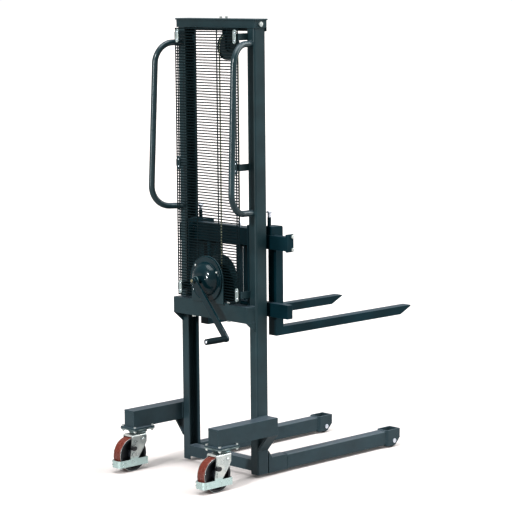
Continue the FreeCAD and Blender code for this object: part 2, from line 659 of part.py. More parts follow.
def make_screen():
    """One sheet with a wire screen's gaps: rows between ribs, edge strips and the shaft's window."""
    low, pitch, wire = float(size.mesh_low), float(size.mesh_pitch), float(size.mesh_wire)
    front, rib = float(mast_y - size.mesh_back), float(size.mesh_rib)
    rows = int((float(skirt_low) - low) // pitch)
    edge = float(size.mesh_half) - wire / 2
    inner_edge = edge - float(size.mesh_edge_gap) - wire
    window = float(size.mesh_window) / 2
    window_low = int((float(winch_z) - window - low) // pitch)
    window_rows = round(window * 2 / pitch)

    def gap_wire(left, right, row, step):
        """The outline of a gap that starts at a row and is so many rows high."""
        bottom = low + wire + row * pitch
        top = bottom + step * pitch - wire
        corners = [Vector(left, front, bottom), Vector(right, front, bottom), Vector(right, front, top),
                   Vector(left, front, top), Vector(left, front, bottom)]
        return Part.makePolygon(corners)

    side_start, middle_end = rib + wire / 2, rib - wire / 2
    gaps = [gap_wire(-window, window, window_low, window_rows)]
    for row in range(rows):
        gaps.append(gap_wire(-inner_edge, -side_start, row, 1))
        gaps.append(gap_wire(side_start, inner_edge, row, 1))
        if window_low <= row < window_low + window_rows:
            gaps.append(gap_wire(-middle_end, -window - wire, row, 1))
            gaps.append(gap_wire(window + wire, middle_end, row, 1))
        else:
            gaps.append(gap_wire(-middle_end, middle_end, row, 1))
    edge_rows = rows // EDGE_TIES
    for tie in range(EDGE_TIES):
        gaps.append(gap_wire(-edge, -inner_edge - wire, tie * edge_rows, edge_rows))
        gaps.append(gap_wire(inner_edge + wire, edge, tie * edge_rows, edge_rows))
    outer = Part.makePlane(edge * 2 + wire * 2, rows * pitch + wire, Vector(-edge - wire, front, low),
                           Vector(0, -1, 0), Vector(1, 0, 0))
    print("guard gaps", len(gaps))
    screen = Part.makeFace([outer.OuterWire] + gaps, "Part::FaceMakerBullseye")
    return screen.extrude(Vector(0, -wire, 0))


def make_guard():
    """A wire screen in front of the rope, its stand-off brackets and clips."""
    node("guard_mesh", formed(make_screen()))
    brackets, clips = [], []
    plate, tall = size.bracket_plate, size.bracket_height
    rear_face = mast_y - size.mesh_back
    clip_x = size.mesh_half - size.clip_inset
    span = skirt_low - size.mesh_low
    for share in GUARD_LEVEL_SHARES:
        middle = size.mesh_low + span * share
        z_span = (middle - tall / 2, middle + tall / 2)
        for _, sign in SIDES:
            arm = side_box(sign, (flange_tip, flange_tip + plate), (rear_face, mast_y), z_span)
            flat = side_box(sign, (clip_x - size.clip_width / 2, flange_tip), (rear_face, rear_face + plate),
                            z_span)
            brackets.append(fuse(arm, flat))
            clips.append(make_clip(clip_x * sign, middle))
    node("guard_brackets", *brackets)
    node("guard_clips", *clips)


def make_clip(middle_x, middle_z):
    """A long clamp plate with round ends, on the screen's rear face."""
    radius = size.clip_width / 2
    straight = size.clip_height - size.clip_width
    wide = size.clip_width
    outline = [(ZERO, radius), ((radius, ZERO), (wide, radius)), (wide, radius + straight),
               ((radius, radius * 2 + straight), (ZERO, radius + straight))]
    rear = mast_y - size.mesh_back - size.mesh_wire
    low = middle_z - size.clip_height / 2
    return pad("XZ_Plane", outline, size.clip_thick, (middle_x - radius, rear, low))


def make_winch():
    """Two round-topped cheeks on a base, the drum between them, the cover and the crank."""
    plate, half, hole = size.winch_plate, size.winch_half, size.shaft / 2 + size.run_clear
    rise, base_top = size.winch_axis_rise - plate, crossbar_top + plate
    cheek = [(ZERO, ZERO), (half * 2, ZERO), (half * 2, rise), ((half, rise + half), (ZERO, rise))]
    bore = ((half, rise), hole)
    base = box((-size.winch_base_half, crossbar_rear, crossbar_top), (size.winch_base_half, mast_y, base_top))
    tray = box((-half, winch_rear, crossbar_top), (half, winch_front, base_top))
    cheeks = []
    for front in (winch_rear + plate, winch_front):
        cheeks.append(pad("XZ_Plane", cheek, plate, (-half, front, base_top), holes=[bore]))
    node("winch_frame", fuse(base, tray, *cheeks))
    make_drum(hole)
    make_cover(hole)
    make_crank()
    bolt_y = crossbar_rear + size.winch_bolt_edge
    for _, sign in SIDES:
        for bolt_z in (base_top, size.bar_low - size.bolt_height):
            frame_bolts.append(bolt_head(size.bolt_radius, (size.winch_bolt_x * sign, bolt_y, bolt_z),
                                         size.bolt_height, AXIS_Z))
    for turn in COVER_BOLT_TURNS:
        bolt_x = size.cover_bolt_circle * math.cos(math.radians(turn))
        up = size.cover_bolt_circle * math.sin(math.radians(turn))
        start = (bolt_x, winch_rear - size.cover_rim - size.bolt_height, winch_z + up)
        frame_bolts.append(bolt_head(size.cover_bolt, start, size.bolt_height, AXIS_Y))


def make_drum(hole):
    """A flanged drum with a stub in the front cheek, riding on the crank shaft at the rear."""
    gap, flange, thick = size.drum_side_gap, size.drum_flange, size.drum_flange_thick
    start = mast_y - size.mesh_back + gap
    stub = size.shaft / 2
    length = winch_front - size.winch_plate - gap - start
    outline = [
        (hole, ZERO), (flange, ZERO), (flange, thick), (size.drum_radius, thick),
        (size.drum_radius, length - thick), (flange, length - thick), (flange, length), (stub, length),
        (stub, length + gap + size.winch_plate), (ZERO, length + gap + size.winch_plate),
        (ZERO, size.shaft_grip), (hole, size.shaft_grip),
    ]
    node("rope_drum", turned(outline, (ZERO, start, winch_z), TURN_Y))
    make_winding()


def tangent_arc(start, knee, end):
    """The arc from one point to another whose tangents at both ends meet at the knee."""
    middle = (start + end) / 2
    turn = (knee - start).getAngle(end - knee)
    share = math.tan(turn / 4) / math.tan(turn / 2)
    return Part.Arc(start, middle + (knee - middle) * share, end).toShape()


def biarc(start, heading, end, end_heading):
    """Two arcs that join smoothly, from one point and heading to another."""
    chord, both = end - start, heading + end_heading
    square = 4 - both.dot(both)
    lean = chord.dot(both)
    reach = (math.sqrt(lean ** 2 + square * chord.dot(chord)) - lean) / square
    first, second = start + heading * reach, end - end_heading * reach
    joint = (first + second) / 2
    return [tangent_arc(start, first, joint), tangent_arc(joint, second, end)]


def least_gap(path, diameter, apart):
    """The least gap between stretches of a round cord that lie at least so far apart along it."""
    points = path.discretize(Distance=diameter / 2)
    skip = int(apart / path.Length * len(points))
    nearest = min((near - far).Length for place, near in enumerate(points) for far in points[place + skip:])
    return nearest - diameter


def make_winding():
    """The rope's turns on the drum: one helix of smooth half turns, with a straight stretch at each end."""
    radius, pitch, thick = float(rope_x), float(size.rope_pitch), float(size.rope)
    start_y, middle_z = float(rope_rear), float(winch_z)
    climb = pitch / (2 * math.pi * radius)

    def at(half_turns):
        """The point and the unit heading after so many half turns."""
        angle = -half_turns * math.pi
        point = Vector(radius * math.cos(angle), start_y - pitch * half_turns / 2,
                       middle_z + radius * math.sin(angle))
        heading = Vector(math.sin(angle), -climb, -math.cos(angle)).normalize()
        return point, heading

    last = WINDING_TURNS * 2
    (first_point, first_heading), (last_point, last_heading) = at(0), at(last)
    edges = [Part.LineSegment(first_point - first_heading * thick, first_point).toShape()]
    for half_turn in range(last):
        edges.extend(biarc(*at(half_turn), *at(half_turn + 1)))
    edges.append(Part.LineSegment(last_point, last_point + last_heading * thick).toShape())
    path = Part.Wire(edges)
    print("rope winding gap to itself", round(least_gap(path, thick, math.pi * radius), 2))
    node("rope_winding", formed(tube_along(path, thick / 2)))


def make_cover(hole):
    """A pressed dome on a bolted disc over the winch's load brake."""
    rim, thick, wall = size.cover_radius, size.cover_rim, size.cover_wall
    dome, depth, nose = size.dome_radius, size.dome_depth, size.dome_nose
    top = thick + depth
    outer = [(dome * out, thick + depth * up) for out, up in DOME_SHARES]
    inner = [((dome - wall) * out, thick + (depth - wall) * up) for out, up in reversed(DOME_SHARES)]
    outline = [
        (dome - wall, ZERO), (rim, ZERO), (rim, thick), *outer, (nose, top), (hole, top), (hole, top - wall),
        (nose, top - wall), *inner,
    ]
    half_turn = Rotation(Vector(0, 0, 1), 180)
    node("brake_cover", turned(outline, (ZERO, winch_rear, winch_z), half_turn))


def make_crank():
    """A flat arm on the winch shaft, with a spindle for the turning grip."""
    plate = size.crank_plate
    arm_rear = winch_rear - size.crank_back
    shaft_end = mast_y - size.mesh_back + size.drum_side_gap + size.shaft_grip - size.slide_clear
    outer_end = arm_rear - size.bolt_height
    shaft = rod(size.shaft / 2, (ZERO, outer_end, winch_z), shaft_end - outer_end, AXIS_Y)
    nut = bolt_head(size.crank_nut, (ZERO, outer_end, winch_z), size.bolt_height, AXIS_Y)
    collar_end = winch_rear - size.cover_rim - size.dome_depth - size.slide_clear
    collar_start = arm_rear + plate
    collar = rod(size.crank_hub, (ZERO, collar_start, winch_z), collar_end - collar_start, AXIS_Y)
    half, length, wide = size.crank_arm / 2, size.crank_length, size.crank_arm
    arm = [
        (ZERO, half), ((half, ZERO), (wide, half)), (wide, half + length),
        ((half, wide + length), (ZERO, half + length)),
    ]
    turn = Rotation(Vector(0, 1, 0), 180 - CRANK_LEAN)
    lean = math.radians(CRANK_LEAN)
    sideways, down = math.sin(lean), math.cos(lean)
    corner_x = half * (down - sideways)
    corner_z = winch_z + half * (down + sideways)
    bar = pad("XZ_Plane", arm, plate, (corner_x, arm_rear + plate, corner_z), turn)
    grip_x, grip_z = size.crank_length * sideways, winch_z - size.crank_length * down
    length, radius = size.grip_length, size.grip_radius
    spindle = rod(size.grip_spindle / 2, (grip_x, arm_rear - length, grip_z), length, AXIS_Y)
    node("crank", fuse(shaft, nut, collar, bar, spindle))
    hole = size.grip_spindle / 2 + size.run_clear
    outline = [
        (hole, size.slide_clear), (radius, size.slide_clear), (radius + size.grip_belly, length / 2),
        (radius, length), (hole, length),
    ]
    node("crank_grip", turned(outline, (grip_x, arm_rear - length - size.slide_clear, grip_z), TURN_Y))


def make_rope_run():
    """The pulley in its hanger under the cap, and the rope up from the drum and over it."""
    radius, rim, half = size.pulley_rope_radius, size.pulley_rim, size.pulley_width / 2
    bore = size.pulley_axle / 2 + size.run_clear
    groove = radius - size.rope / 2 - size.slide_clear
    lip = size.pulley_width / 2 - size.rope / 2 - size.slide_clear
    tall, wide_groove = radius + rim, half * 2
    edge, bed = lip * GROOVE_LIP_SHARE, lip + size.rope * GROOVE_BED_SHARE
    outline = [(bore, ZERO), (tall, ZERO), (tall, edge), (radius, lip), (groove, bed),
               (groove, wide_groove - bed), (radius, wide_groove - lip), (tall, wide_groove - edge),
               (tall, wide_groove), (bore, wide_groove)]
    node("rope_pulley", turned(outline, (rope_x - half, pulley_y, pulley_z), TURN_X))
    gap, plate, wide = half + size.hanger_gap, size.hanger_plate, size.hanger_width / 2
    rise = plate_top - pulley_z
    cheek = [(ZERO, wide), ((wide, ZERO), (wide * 2, wide)), (wide * 2, wide + rise), (ZERO, wide + rise)]
    hole = ((wide, wide), bore)
    cheeks = []
    for start in (rope_x - gap - plate, rope_x + gap):
        cheeks.append(pad("YZ_Plane", cheek, plate, (start, pulley_y - wide, pulley_z - wide), holes=[hole]))
    foot = box((rope_x - size.hanger_foot, mast_y, plate_top - plate),
               (rope_x + size.hanger_foot, pulley_y + wide, plate_top))
    node("pulley_hanger", fuse(*cheeks, foot))
    end, head = gap + plate, size.axle_head_height
    pieces = [rod(size.pulley_axle / 2, (rope_x - end, pulley_y, pulley_z), end * 2, AXIS_X)]
    for head_x in (rope_x - end - head, rope_x + end):
        pieces.append(rod(size.pulley_axle_head, (head_x, pulley_y, pulley_z), head, AXIS_X))
    node("pulley_axle", fuse(*pieces))
    clear = float(rope_x + size.rope)
    inner = float(rope_x - size.rope)
    drum_rise = math.sqrt(clear ** 2 - inner ** 2)
    x, rear, front, top = float(rope_x), float(rope_rear), float(rope_front), float(pulley_z)
    crest = Vector(x, float(pulley_y), top + float(radius))
    arc = Part.Arc(Vector(x, rear, top), crest, Vector(x, front, top))
    run = Part.LineSegment(Vector(x, rear, float(winch_z) + drum_rise), Vector(x, rear, top))
    path = Part.Wire([run.toShape(), arc.toShape()])
    node("rope_run", formed(tube_along(path, float(size.rope / 2))))
    anchor_top = upper_bar_top + size.anchor_height
    node("rope_fall", rod(size.rope / 2, (rope_x, rope_front, anchor_top), pulley_z - anchor_top, AXIS_Z))


def make_carriage():
    """A frame of tubes between the uprights, roller plates and the two fork bars."""
    plate_out = flange_tip - size.side_gap
    plate_in = plate_out - size.side_plate
    tube_rear = mast_y + size.cross_tube_set
    wall = size.cross_tube_wall
    tubes = []
    lows = (size.lower_bar_low - size.cross_tube_rise / 2, size.upper_bar_low + size.cross_tube_rise)
    tall = size.cross_tube_height
    for low in lows:
        outer = box((-plate_in, tube_rear, low), (plate_in, bar_rear, low + tall))
        inner = box((-plate_in, tube_rear + wall, low + wall), (plate_in, bar_rear - wall, low + tall - wall))
        tubes.append(cut(outer, inner))
    for _, sign in SIDES:
        for near in (size.post_inner, size.post_outer):
            tubes.append(side_box(sign, (near, near + size.post_plate),
                                  (bar_rear - size.post_depth, bar_rear), (lows[0] + tall, lows[1])))
    node("carriage_frame", fuse(*tubes))
    over = size.side_plate_over
    low, high = lows[0] - over, lows[1] + tall + over
    axle_radius = size.guide_axle / 2
    channel = (size.upright_depth - size.upright_wall * 2) / 2
    roller_radius = channel - size.slide_clear
    axle_y_at = mast_y + size.upright_depth / 2
    levels = (("lower", low + size.guide_axle_inset), ("upper", high - size.guide_axle_inset))
    plates, axles = [], []
    bore, width = axle_radius + size.run_clear, size.guide_roller_width
    outline = [(bore, ZERO), (roller_radius, ZERO), (roller_radius, width), (bore, width)]
    roller_in = flange_tip + size.guide_roller_gap
    for name, sign in SIDES:
        flat = side_box(sign, (plate_in, plate_out), (mast_y + size.side_plate_set, bar_rear), (low, high))
        start, end = across(sign, plate_in, roller_in + width)
        hole_low, hole_high = across(sign, plate_in - size.overrun, plate_out + size.overrun)
        roller_low, _ = across(sign, roller_in, roller_in + width)
        holes = []
        for level, height in levels:
            axles.append(rod(axle_radius, (start, axle_y_at, height), end - start, AXIS_X))
            holes.append(rod(bore, (hole_low, axle_y_at, height), hole_high - hole_low, AXIS_X))
            node(f"{name}_{level}_guide_roller", turned(outline, (roller_low, axle_y_at, height), TURN_X))
        plates.append(cut(flat, *holes))
    node("carriage_side_plates", *plates)
    node("guide_roller_axles", *axles)
    make_fork_bars()


def make_fork_bars():
    """Flat bars that the forks hang on, a pin groove, end stops and the rope's anchor."""
    half, height, low = size.fork_bar_half, size.fork_bar_height, size.upper_bar_low
    end = half - size.stop_thick
    upper = box((-end, bar_rear, low), (end, bar_front, upper_bar_top))
    pin_y = bar_rear + size.fork_bar_thick / 2
    groove_half = size.pin_radius + size.slide_clear
    groove = box((-end, pin_y - groove_half, upper_bar_top - size.pin_groove_depth),
                 (end, pin_y + groove_half, upper_bar_top + size.overrun))
    node("upper_fork_bar", cut(upper, groove))
    node("lower_fork_bar", box((-half, bar_rear, size.lower_bar_low),
                               (half, bar_front, size.lower_bar_low + height)))
    stops, bolts = [], []
    for _, sign in SIDES:
        stops.append(side_box(sign, (end, half), (bar_rear, bar_front + size.stop_reach),
                              (low - size.stop_under, upper_bar_top + size.stop_over)))
        head_x, _ = across(sign, half, half + size.bolt_height)
        for bolt_z in (low + size.stop_bolt_inset, upper_bar_top):
            bolts.append(bolt_head(size.bolt_radius, (head_x, bar_front, bolt_z), size.bolt_height, AXIS_X))
    node("fork_stops", *stops)
    node("fork_stop_bolts", *bolts)
    wide = size.anchor_width / 2
    node("rope_anchor", box((rope_x - wide, rope_front - size.rope, upper_bar_top),
                            (rope_x + wide, bar_front, upper_bar_top + size.anchor_height)))


def make_forks():
    """Forged L forks with a hook over the upper bar, and the pins that lock them."""
    rear = bar_front + size.slide_clear
    hook_low = upper_bar_top + size.slide_clear
    hook_high = hook_low + size.fork_hook_height
    bevel, land = size.fork_tip_bevel, size.fork_tip_land
    height, shank = size.fork_height, size.fork_shank
    pin_y = bar_rear + size.fork_bar_thick / 2
    hook_rear = pin_y - size.pin_back
    set_back = rear - hook_rear
    low = size.fork_low
    rise = hook_high - low
    hook = hook_low - low
    reach = set_back + size.fork_length
    face, corner = set_back + shank, size.fork_corner
    near = corner * BEND_SHARE
    outline = [
        (set_back, ZERO), (reach - bevel, ZERO), (reach, height - land), (reach, height), (face, height),
        (face, rise - corner), ((face - near, rise - near), (face - corner, rise)), (ZERO, rise),
        (ZERO, hook), (set_back, hook),
    ]
    for name, sign in SIDES:
        middle = size.fork_centre * sign
        start = middle - size.fork_width / 2
        blade = pad("YZ_Plane", outline, size.fork_width, (start, hook_rear, low))
        bore = rod(size.pin_radius + size.run_clear, (middle, pin_y, hook_low - size.overrun),
                   size.fork_hook_height + size.overrun * 2, AXIS_Z)
        sleeve = cut(
            rod(size.pin_sleeve_radius, (middle, pin_y, hook_high), size.pin_sleeve_height, AXIS_Z),
            rod(size.pin_radius + size.run_clear, (middle, pin_y, hook_high - size.overrun),
                size.pin_sleeve_height + size.overrun * 2, AXIS_Z))
        node(f"{name}_fork", fuse(cut(blade, bore), sleeve))
        foot = upper_bar_top - size.pin_groove_depth + size.slide_clear
        seat = hook_high + size.pin_sleeve_height - foot
        neck_low = seat + size.slide_clear
        head_low = neck_low + size.pin_neck
        head, thick = size.pin_head_radius, size.pin_head_height
        knob = [(head * out, head_low + thick * up) for out, up in PIN_HEAD_SHARES]
        profile = [
            (ZERO, ZERO), (size.pin_radius, ZERO), (size.pin_radius, neck_low),
            (size.pin_neck_radius, neck_low), *knob, (ZERO, head_low + thick),
        ]
        node(f"{name}_lock_pin", turned(profile, (middle, pin_y, foot), TURN_Z))


make_uprights()
make_top_beam()
make_base()
make_castor_beams()
make_castors()
make_handles()
make_crossbar()
make_guard()
make_winch()
make_rope_run()
make_carriage()
make_forks()
node("frame_bolts", *frame_bolts)
node("front_axles", *front_axles)
doc.recompute()

faults = []
for item in doc.Objects:
    if {"Invalid", "Error"} & set(item.State):
        faults.append(f"{item.Label} ({item.Name}): {item.State}")
for name, item in nodes.items():
    shape = item.Shape
    if shape.isNull() or not shape.isValid() or not shape.Solids:
        faults.append(f"{name}: shape is empty or not valid")
if faults:
    raise RuntimeError("; ".join(faults))
os.makedirs("parts", exist_ok=True)
for name, item in nodes.items():
    item.Shape.exportStep(f"parts/{name}.step")
print(len(nodes), "sub-parts written")
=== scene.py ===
"""Looks of the hand winch stacker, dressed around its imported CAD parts."""

from __future__ import annotations

import json
import logging
import math
from collections.abc import Callable, Mapping, Sequence
from dataclasses import dataclass, field
from enum import Enum
from typing import Any, Union

import bpy
import numpy as np
from mathutils import Matrix, Vector

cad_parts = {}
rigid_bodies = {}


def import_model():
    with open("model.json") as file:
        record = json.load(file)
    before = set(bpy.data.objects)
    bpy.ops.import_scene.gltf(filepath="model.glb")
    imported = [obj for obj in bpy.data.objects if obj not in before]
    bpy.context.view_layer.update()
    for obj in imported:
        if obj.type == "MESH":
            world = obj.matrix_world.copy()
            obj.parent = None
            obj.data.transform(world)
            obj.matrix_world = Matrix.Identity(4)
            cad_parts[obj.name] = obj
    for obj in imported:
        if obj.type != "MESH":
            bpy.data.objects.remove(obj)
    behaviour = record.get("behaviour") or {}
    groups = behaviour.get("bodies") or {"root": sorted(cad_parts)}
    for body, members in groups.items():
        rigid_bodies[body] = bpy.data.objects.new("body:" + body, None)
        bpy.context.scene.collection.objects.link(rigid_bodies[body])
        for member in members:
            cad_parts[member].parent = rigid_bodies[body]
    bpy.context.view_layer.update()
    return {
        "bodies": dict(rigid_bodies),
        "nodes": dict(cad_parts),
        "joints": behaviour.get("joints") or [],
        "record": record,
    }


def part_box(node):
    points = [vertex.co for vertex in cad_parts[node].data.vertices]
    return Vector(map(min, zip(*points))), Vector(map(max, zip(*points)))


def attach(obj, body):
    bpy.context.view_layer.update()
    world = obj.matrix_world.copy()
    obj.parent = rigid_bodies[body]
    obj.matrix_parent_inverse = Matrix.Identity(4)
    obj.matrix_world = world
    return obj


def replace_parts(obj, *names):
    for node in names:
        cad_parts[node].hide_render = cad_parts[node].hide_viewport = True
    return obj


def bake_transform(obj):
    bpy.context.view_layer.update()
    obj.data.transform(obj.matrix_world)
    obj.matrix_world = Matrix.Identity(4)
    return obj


LOG = logging.getLogger("hand_stacker")
MM = 0.001
Colour = tuple[float, float, float]
Axis = tuple[float, float, float]
Number = Union[float, int]
Profile = tuple[tuple[float, float], ...]
Shape = tuple[np.ndarray, list[list[int]]]
ACROSS: Axis = (1.0, 0.0, 0.0)
AHEAD: Axis = (0.0, 1.0, 0.0)
REARWARD: Axis = (0.0, -1.0, 0.0)
UP: Axis = (0.0, 0.0, 1.0)
DOWN: Axis = (0.0, 0.0, -1.0)
CREASE = 38.0
FINE_CREASE = 25.0
STEEP = 0.9
# The guard's middle brackets and clips sit this much lower in the photograph than in the solids.
MIDDLE_LOWER = 11.5 * MM


class Body(str, Enum):
    """CAD bodies that the new pieces ride on."""

    FRAME = "frame"
    CARRIAGE = "carriage"
    DRUM = "drum"
    CRANK = "crank"


class Side(Enum):
    """The two mirrored halves of the machine, each with its sign along X."""

    LEFT = -1
    RIGHT = 1

    @property
    def label(self) -> str:
        """The side's name as bodies and nodes spell it."""
        return self.name.lower()


class Slot(str, Enum):
    """Material slots of the record."""

    PAINT = "anthracite_paint"
    ENAMEL = "gloss_dark"
    GRIP = "grip_black"
    ZINC = "zinc_plate"
    STEEL = "bright_steel"
    ROPE = "wire_rope"
    TREAD = "tread_brown"
    CORE = "core_black"
    NYLON = "roller_nylon"
    BEARING = "roller_steel"


class Socket:
    """One output of a shader node. Arithmetic on it adds Math nodes to its graph."""

    def __init__(self, graph: Graph, socket: bpy.types.NodeSocket) -> None:
        """Keep the graph and the node output that this value stands for."""
        self.graph = graph
        self.socket = socket

    def _math(self, operation: str, first: Any, second: Any) -> Socket:
        """Add one Math node and return its value."""
        return self.graph.node("ShaderNodeMath", {"operation": operation}, {0: first, 1: second})

    def __add__(self, other: Socket | Number) -> Socket:
        """Sum of two values."""
        return self._math("ADD", self, other)

    def __radd__(self, other: Number) -> Socket:
        """Sum with a plain number on the left."""
        return self._math("ADD", other, self)

    def __sub__(self, other: Socket | Number) -> Socket:
        """Difference of two values."""
        return self._math("SUBTRACT", self, other)

    def __rsub__(self, other: Number) -> Socket:
        """Difference from a plain number on the left."""
        return self._math("SUBTRACT", other, self)

    def __mul__(self, other: Socket | Number) -> Socket:
        """Product of two values."""
        return self._math("MULTIPLY", self, other)

    def __rmul__(self, other: Number) -> Socket:
        """Product with a plain number on the left."""
        return self._math("MULTIPLY", other, self)

    def sine(self) -> Socket:
        """Sine of the value in radians."""
        return self._math("SINE", self, 0.0)


@dataclass(frozen=True)
class Pattern:
    """Soft random noise: patches in a metre, octaves, the levels it's cut to, and its stretch."""

    scale: float
    detail: float = 3.0
    low: float = 0.0
    high: float = 1.0
    stretch: Axis = (1.0, 1.0, 1.0)


@dataclass(frozen=True)
class Relief:
    """How strongly, and how deep in metres, a pattern tilts the surface."""

    strength: float
    depth: float


class Graph:
    """The node tree of one material or of the world."""

    upward_range = (0.35, 0.95)
    edge_range = (0.985, 0.82)
    edge_samples = 4
    mix_share, mix_first, mix_second, mix_result = 0, 6, 7, 2

    def __init__(
        self,
        holder: bpy.types.Material | bpy.types.World,
        output: str = "ShaderNodeOutputMaterial",
    ) -> None:
        """Empty the holder's tree and give it an output node.

        Args:
            holder: the material or world that the tree belongs to.
            output: Blender's type name of the output node.
        """
        holder.use_nodes = True
        self.holder = holder
        self.tree = holder.node_tree
        self.tree.nodes.clear()
        self.output = self.tree.nodes.new(output)

    @classmethod
    def material(cls, name: str) -> Graph:
        """The empty tree of a new material."""
        return cls(bpy.data.materials.new(name))

    def node(
        self,
        kind: str,
        settings: Mapping[str, Any] | None = None,
        inputs: Mapping[str | int, Any] | None = None,
        output: str | int = 0,
    ) -> Socket:
        """Add any node.

        Args:
            kind: Blender's type name of the node.
            settings: attributes, which are set first.
            inputs: values or sockets by input name or place.
            output: name or place of the output to return.

        Returns:
            The chosen output as a Socket.
        """
        made = self.tree.nodes.new(kind)
        for name, value in (settings or {}).items():
            setattr(made, name, value)
        for place, value in (inputs or {}).items():
            if isinstance(value, Socket):
                self.tree.links.new(value.socket, made.inputs[place])
            else:
                made.inputs[place].default_value = value
        return Socket(self, made.outputs[output])

    def place(self, kind: str = "Object") -> Socket:
        """Coordinates of the surface: the object's own, or those of its UV map."""
        return self.node("ShaderNodeTexCoord", output=kind)

    def part(self, vector: Socket, axis: str) -> Socket:
        """One coordinate of a vector."""
        return self.node("ShaderNodeSeparateXYZ", None, {"Vector": vector}, output=axis)

    def ray(self, kind: str) -> Socket:
        """One for light that arrives by a kind of ray, nought for any other."""
        return self.node("ShaderNodeLightPath", output=kind)

    def noise(self, pattern: Pattern) -> Socket:
        """Soft noise on object coordinates.

        Args:
            pattern: its scale, detail and stretch.

        Returns:
            A value near a half that wanders between nought and one.
        """
        where = self.node(
            "ShaderNodeMapping", None, {"Vector": self.place(), "Scale": pattern.stretch}
        )
        values = {"Vector": where, "Scale": pattern.scale, "Detail": pattern.detail}
        return self.node("ShaderNodeTexNoise", None, values)

    def ramp(self, value: Socket, low: float, high: float) -> Socket:
        """Nought below low, one above high and a straight rise between."""
        values = {"Value": value, "From Min": low, "From Max": high}
        return self.node("ShaderNodeMapRange", None, values)

    def patches(self, pattern: Pattern) -> Socket:
        """A pattern cut to its own two levels."""
        return self.ramp(self.noise(pattern), pattern.low, pattern.high)

    @staticmethod
    def _with_alpha(value: Any) -> Any:
        """A colour with full alpha, or any other value as it is."""
        return (*value, 1.0) if isinstance(value, tuple) else value

    def mix(self, share: Socket, first: Socket | Colour, second: Socket | Colour) -> Socket:
        """Blend two colours.

        Args:
            share: how much of the second colour shows.
            first: the colour where the share is nought.
            second: the colour where the share is one.

        Returns:
            The blended colour.
        """
        values = {
            self.mix_share: share,
            self.mix_first: self._with_alpha(first),
            self.mix_second: self._with_alpha(second),
        }
        return self.node("ShaderNodeMix", {"data_type": "RGBA"}, values, self.mix_result)

    def height(self) -> Socket:
        """Height of the surface above the floor at rest, in metres."""
        return self.part(self.place(), "Z")

    def upward(self) -> Socket:
        """One on faces that look up, nought on walls and undersides."""
        normal = self.node("ShaderNodeNewGeometry", output="Normal")
        return self.ramp(self.part(normal, "Z"), *self.upward_range)

    def edges(self, width: float) -> Socket:
        """Find sharp edges, where the normal averaged over a width leans off the face's own.

        Args:
            width: reach of the average in metres.

        Returns:
            One along the edges, nought on open faces.
        """
        averaged = self.node("ShaderNodeBevel", {"samples": self.edge_samples}, {"Radius": width})
        own = self.node("ShaderNodeNewGeometry", output="Normal")
        alike = self.node(
            "ShaderNodeVectorMath",
            {"operation": "DOT_PRODUCT"},
            {0: averaged, 1: own},
            output="Value",
        )
        return self.ramp(alike, *self.edge_range)

    def bump(self, height: Socket, relief: Relief) -> Socket:
        """A normal that is tilted by a height pattern."""
        values = {"Height": height, "Strength": relief.strength, "Distance": relief.depth}
        return self.node("ShaderNodeBump", None, values)

    def surface(self, **inputs: Any) -> bpy.types.Material:
        """Close the graph with one principled shader.

        Args:
            inputs: the shader's inputs in lower case, with underscores for spaces.

        Returns:
            The finished material.
        """
        named = {
            key.replace("_", " ").title().replace("Ior", "IOR"): self._with_alpha(value)
            for key, value in inputs.items()
        }
        self.close(self.node("ShaderNodeBsdfPrincipled", None, named))
        return self.holder

    def close(self, shader: Socket) -> None:
        """Lead a shader into the output."""
        self.tree.links.new(shader.socket, self.output.inputs["Surface"])


def scaled(colour: Colour, share: float) -> Colour:
    """A colour made lighter or darker."""
    return tuple(value * share for value in colour)


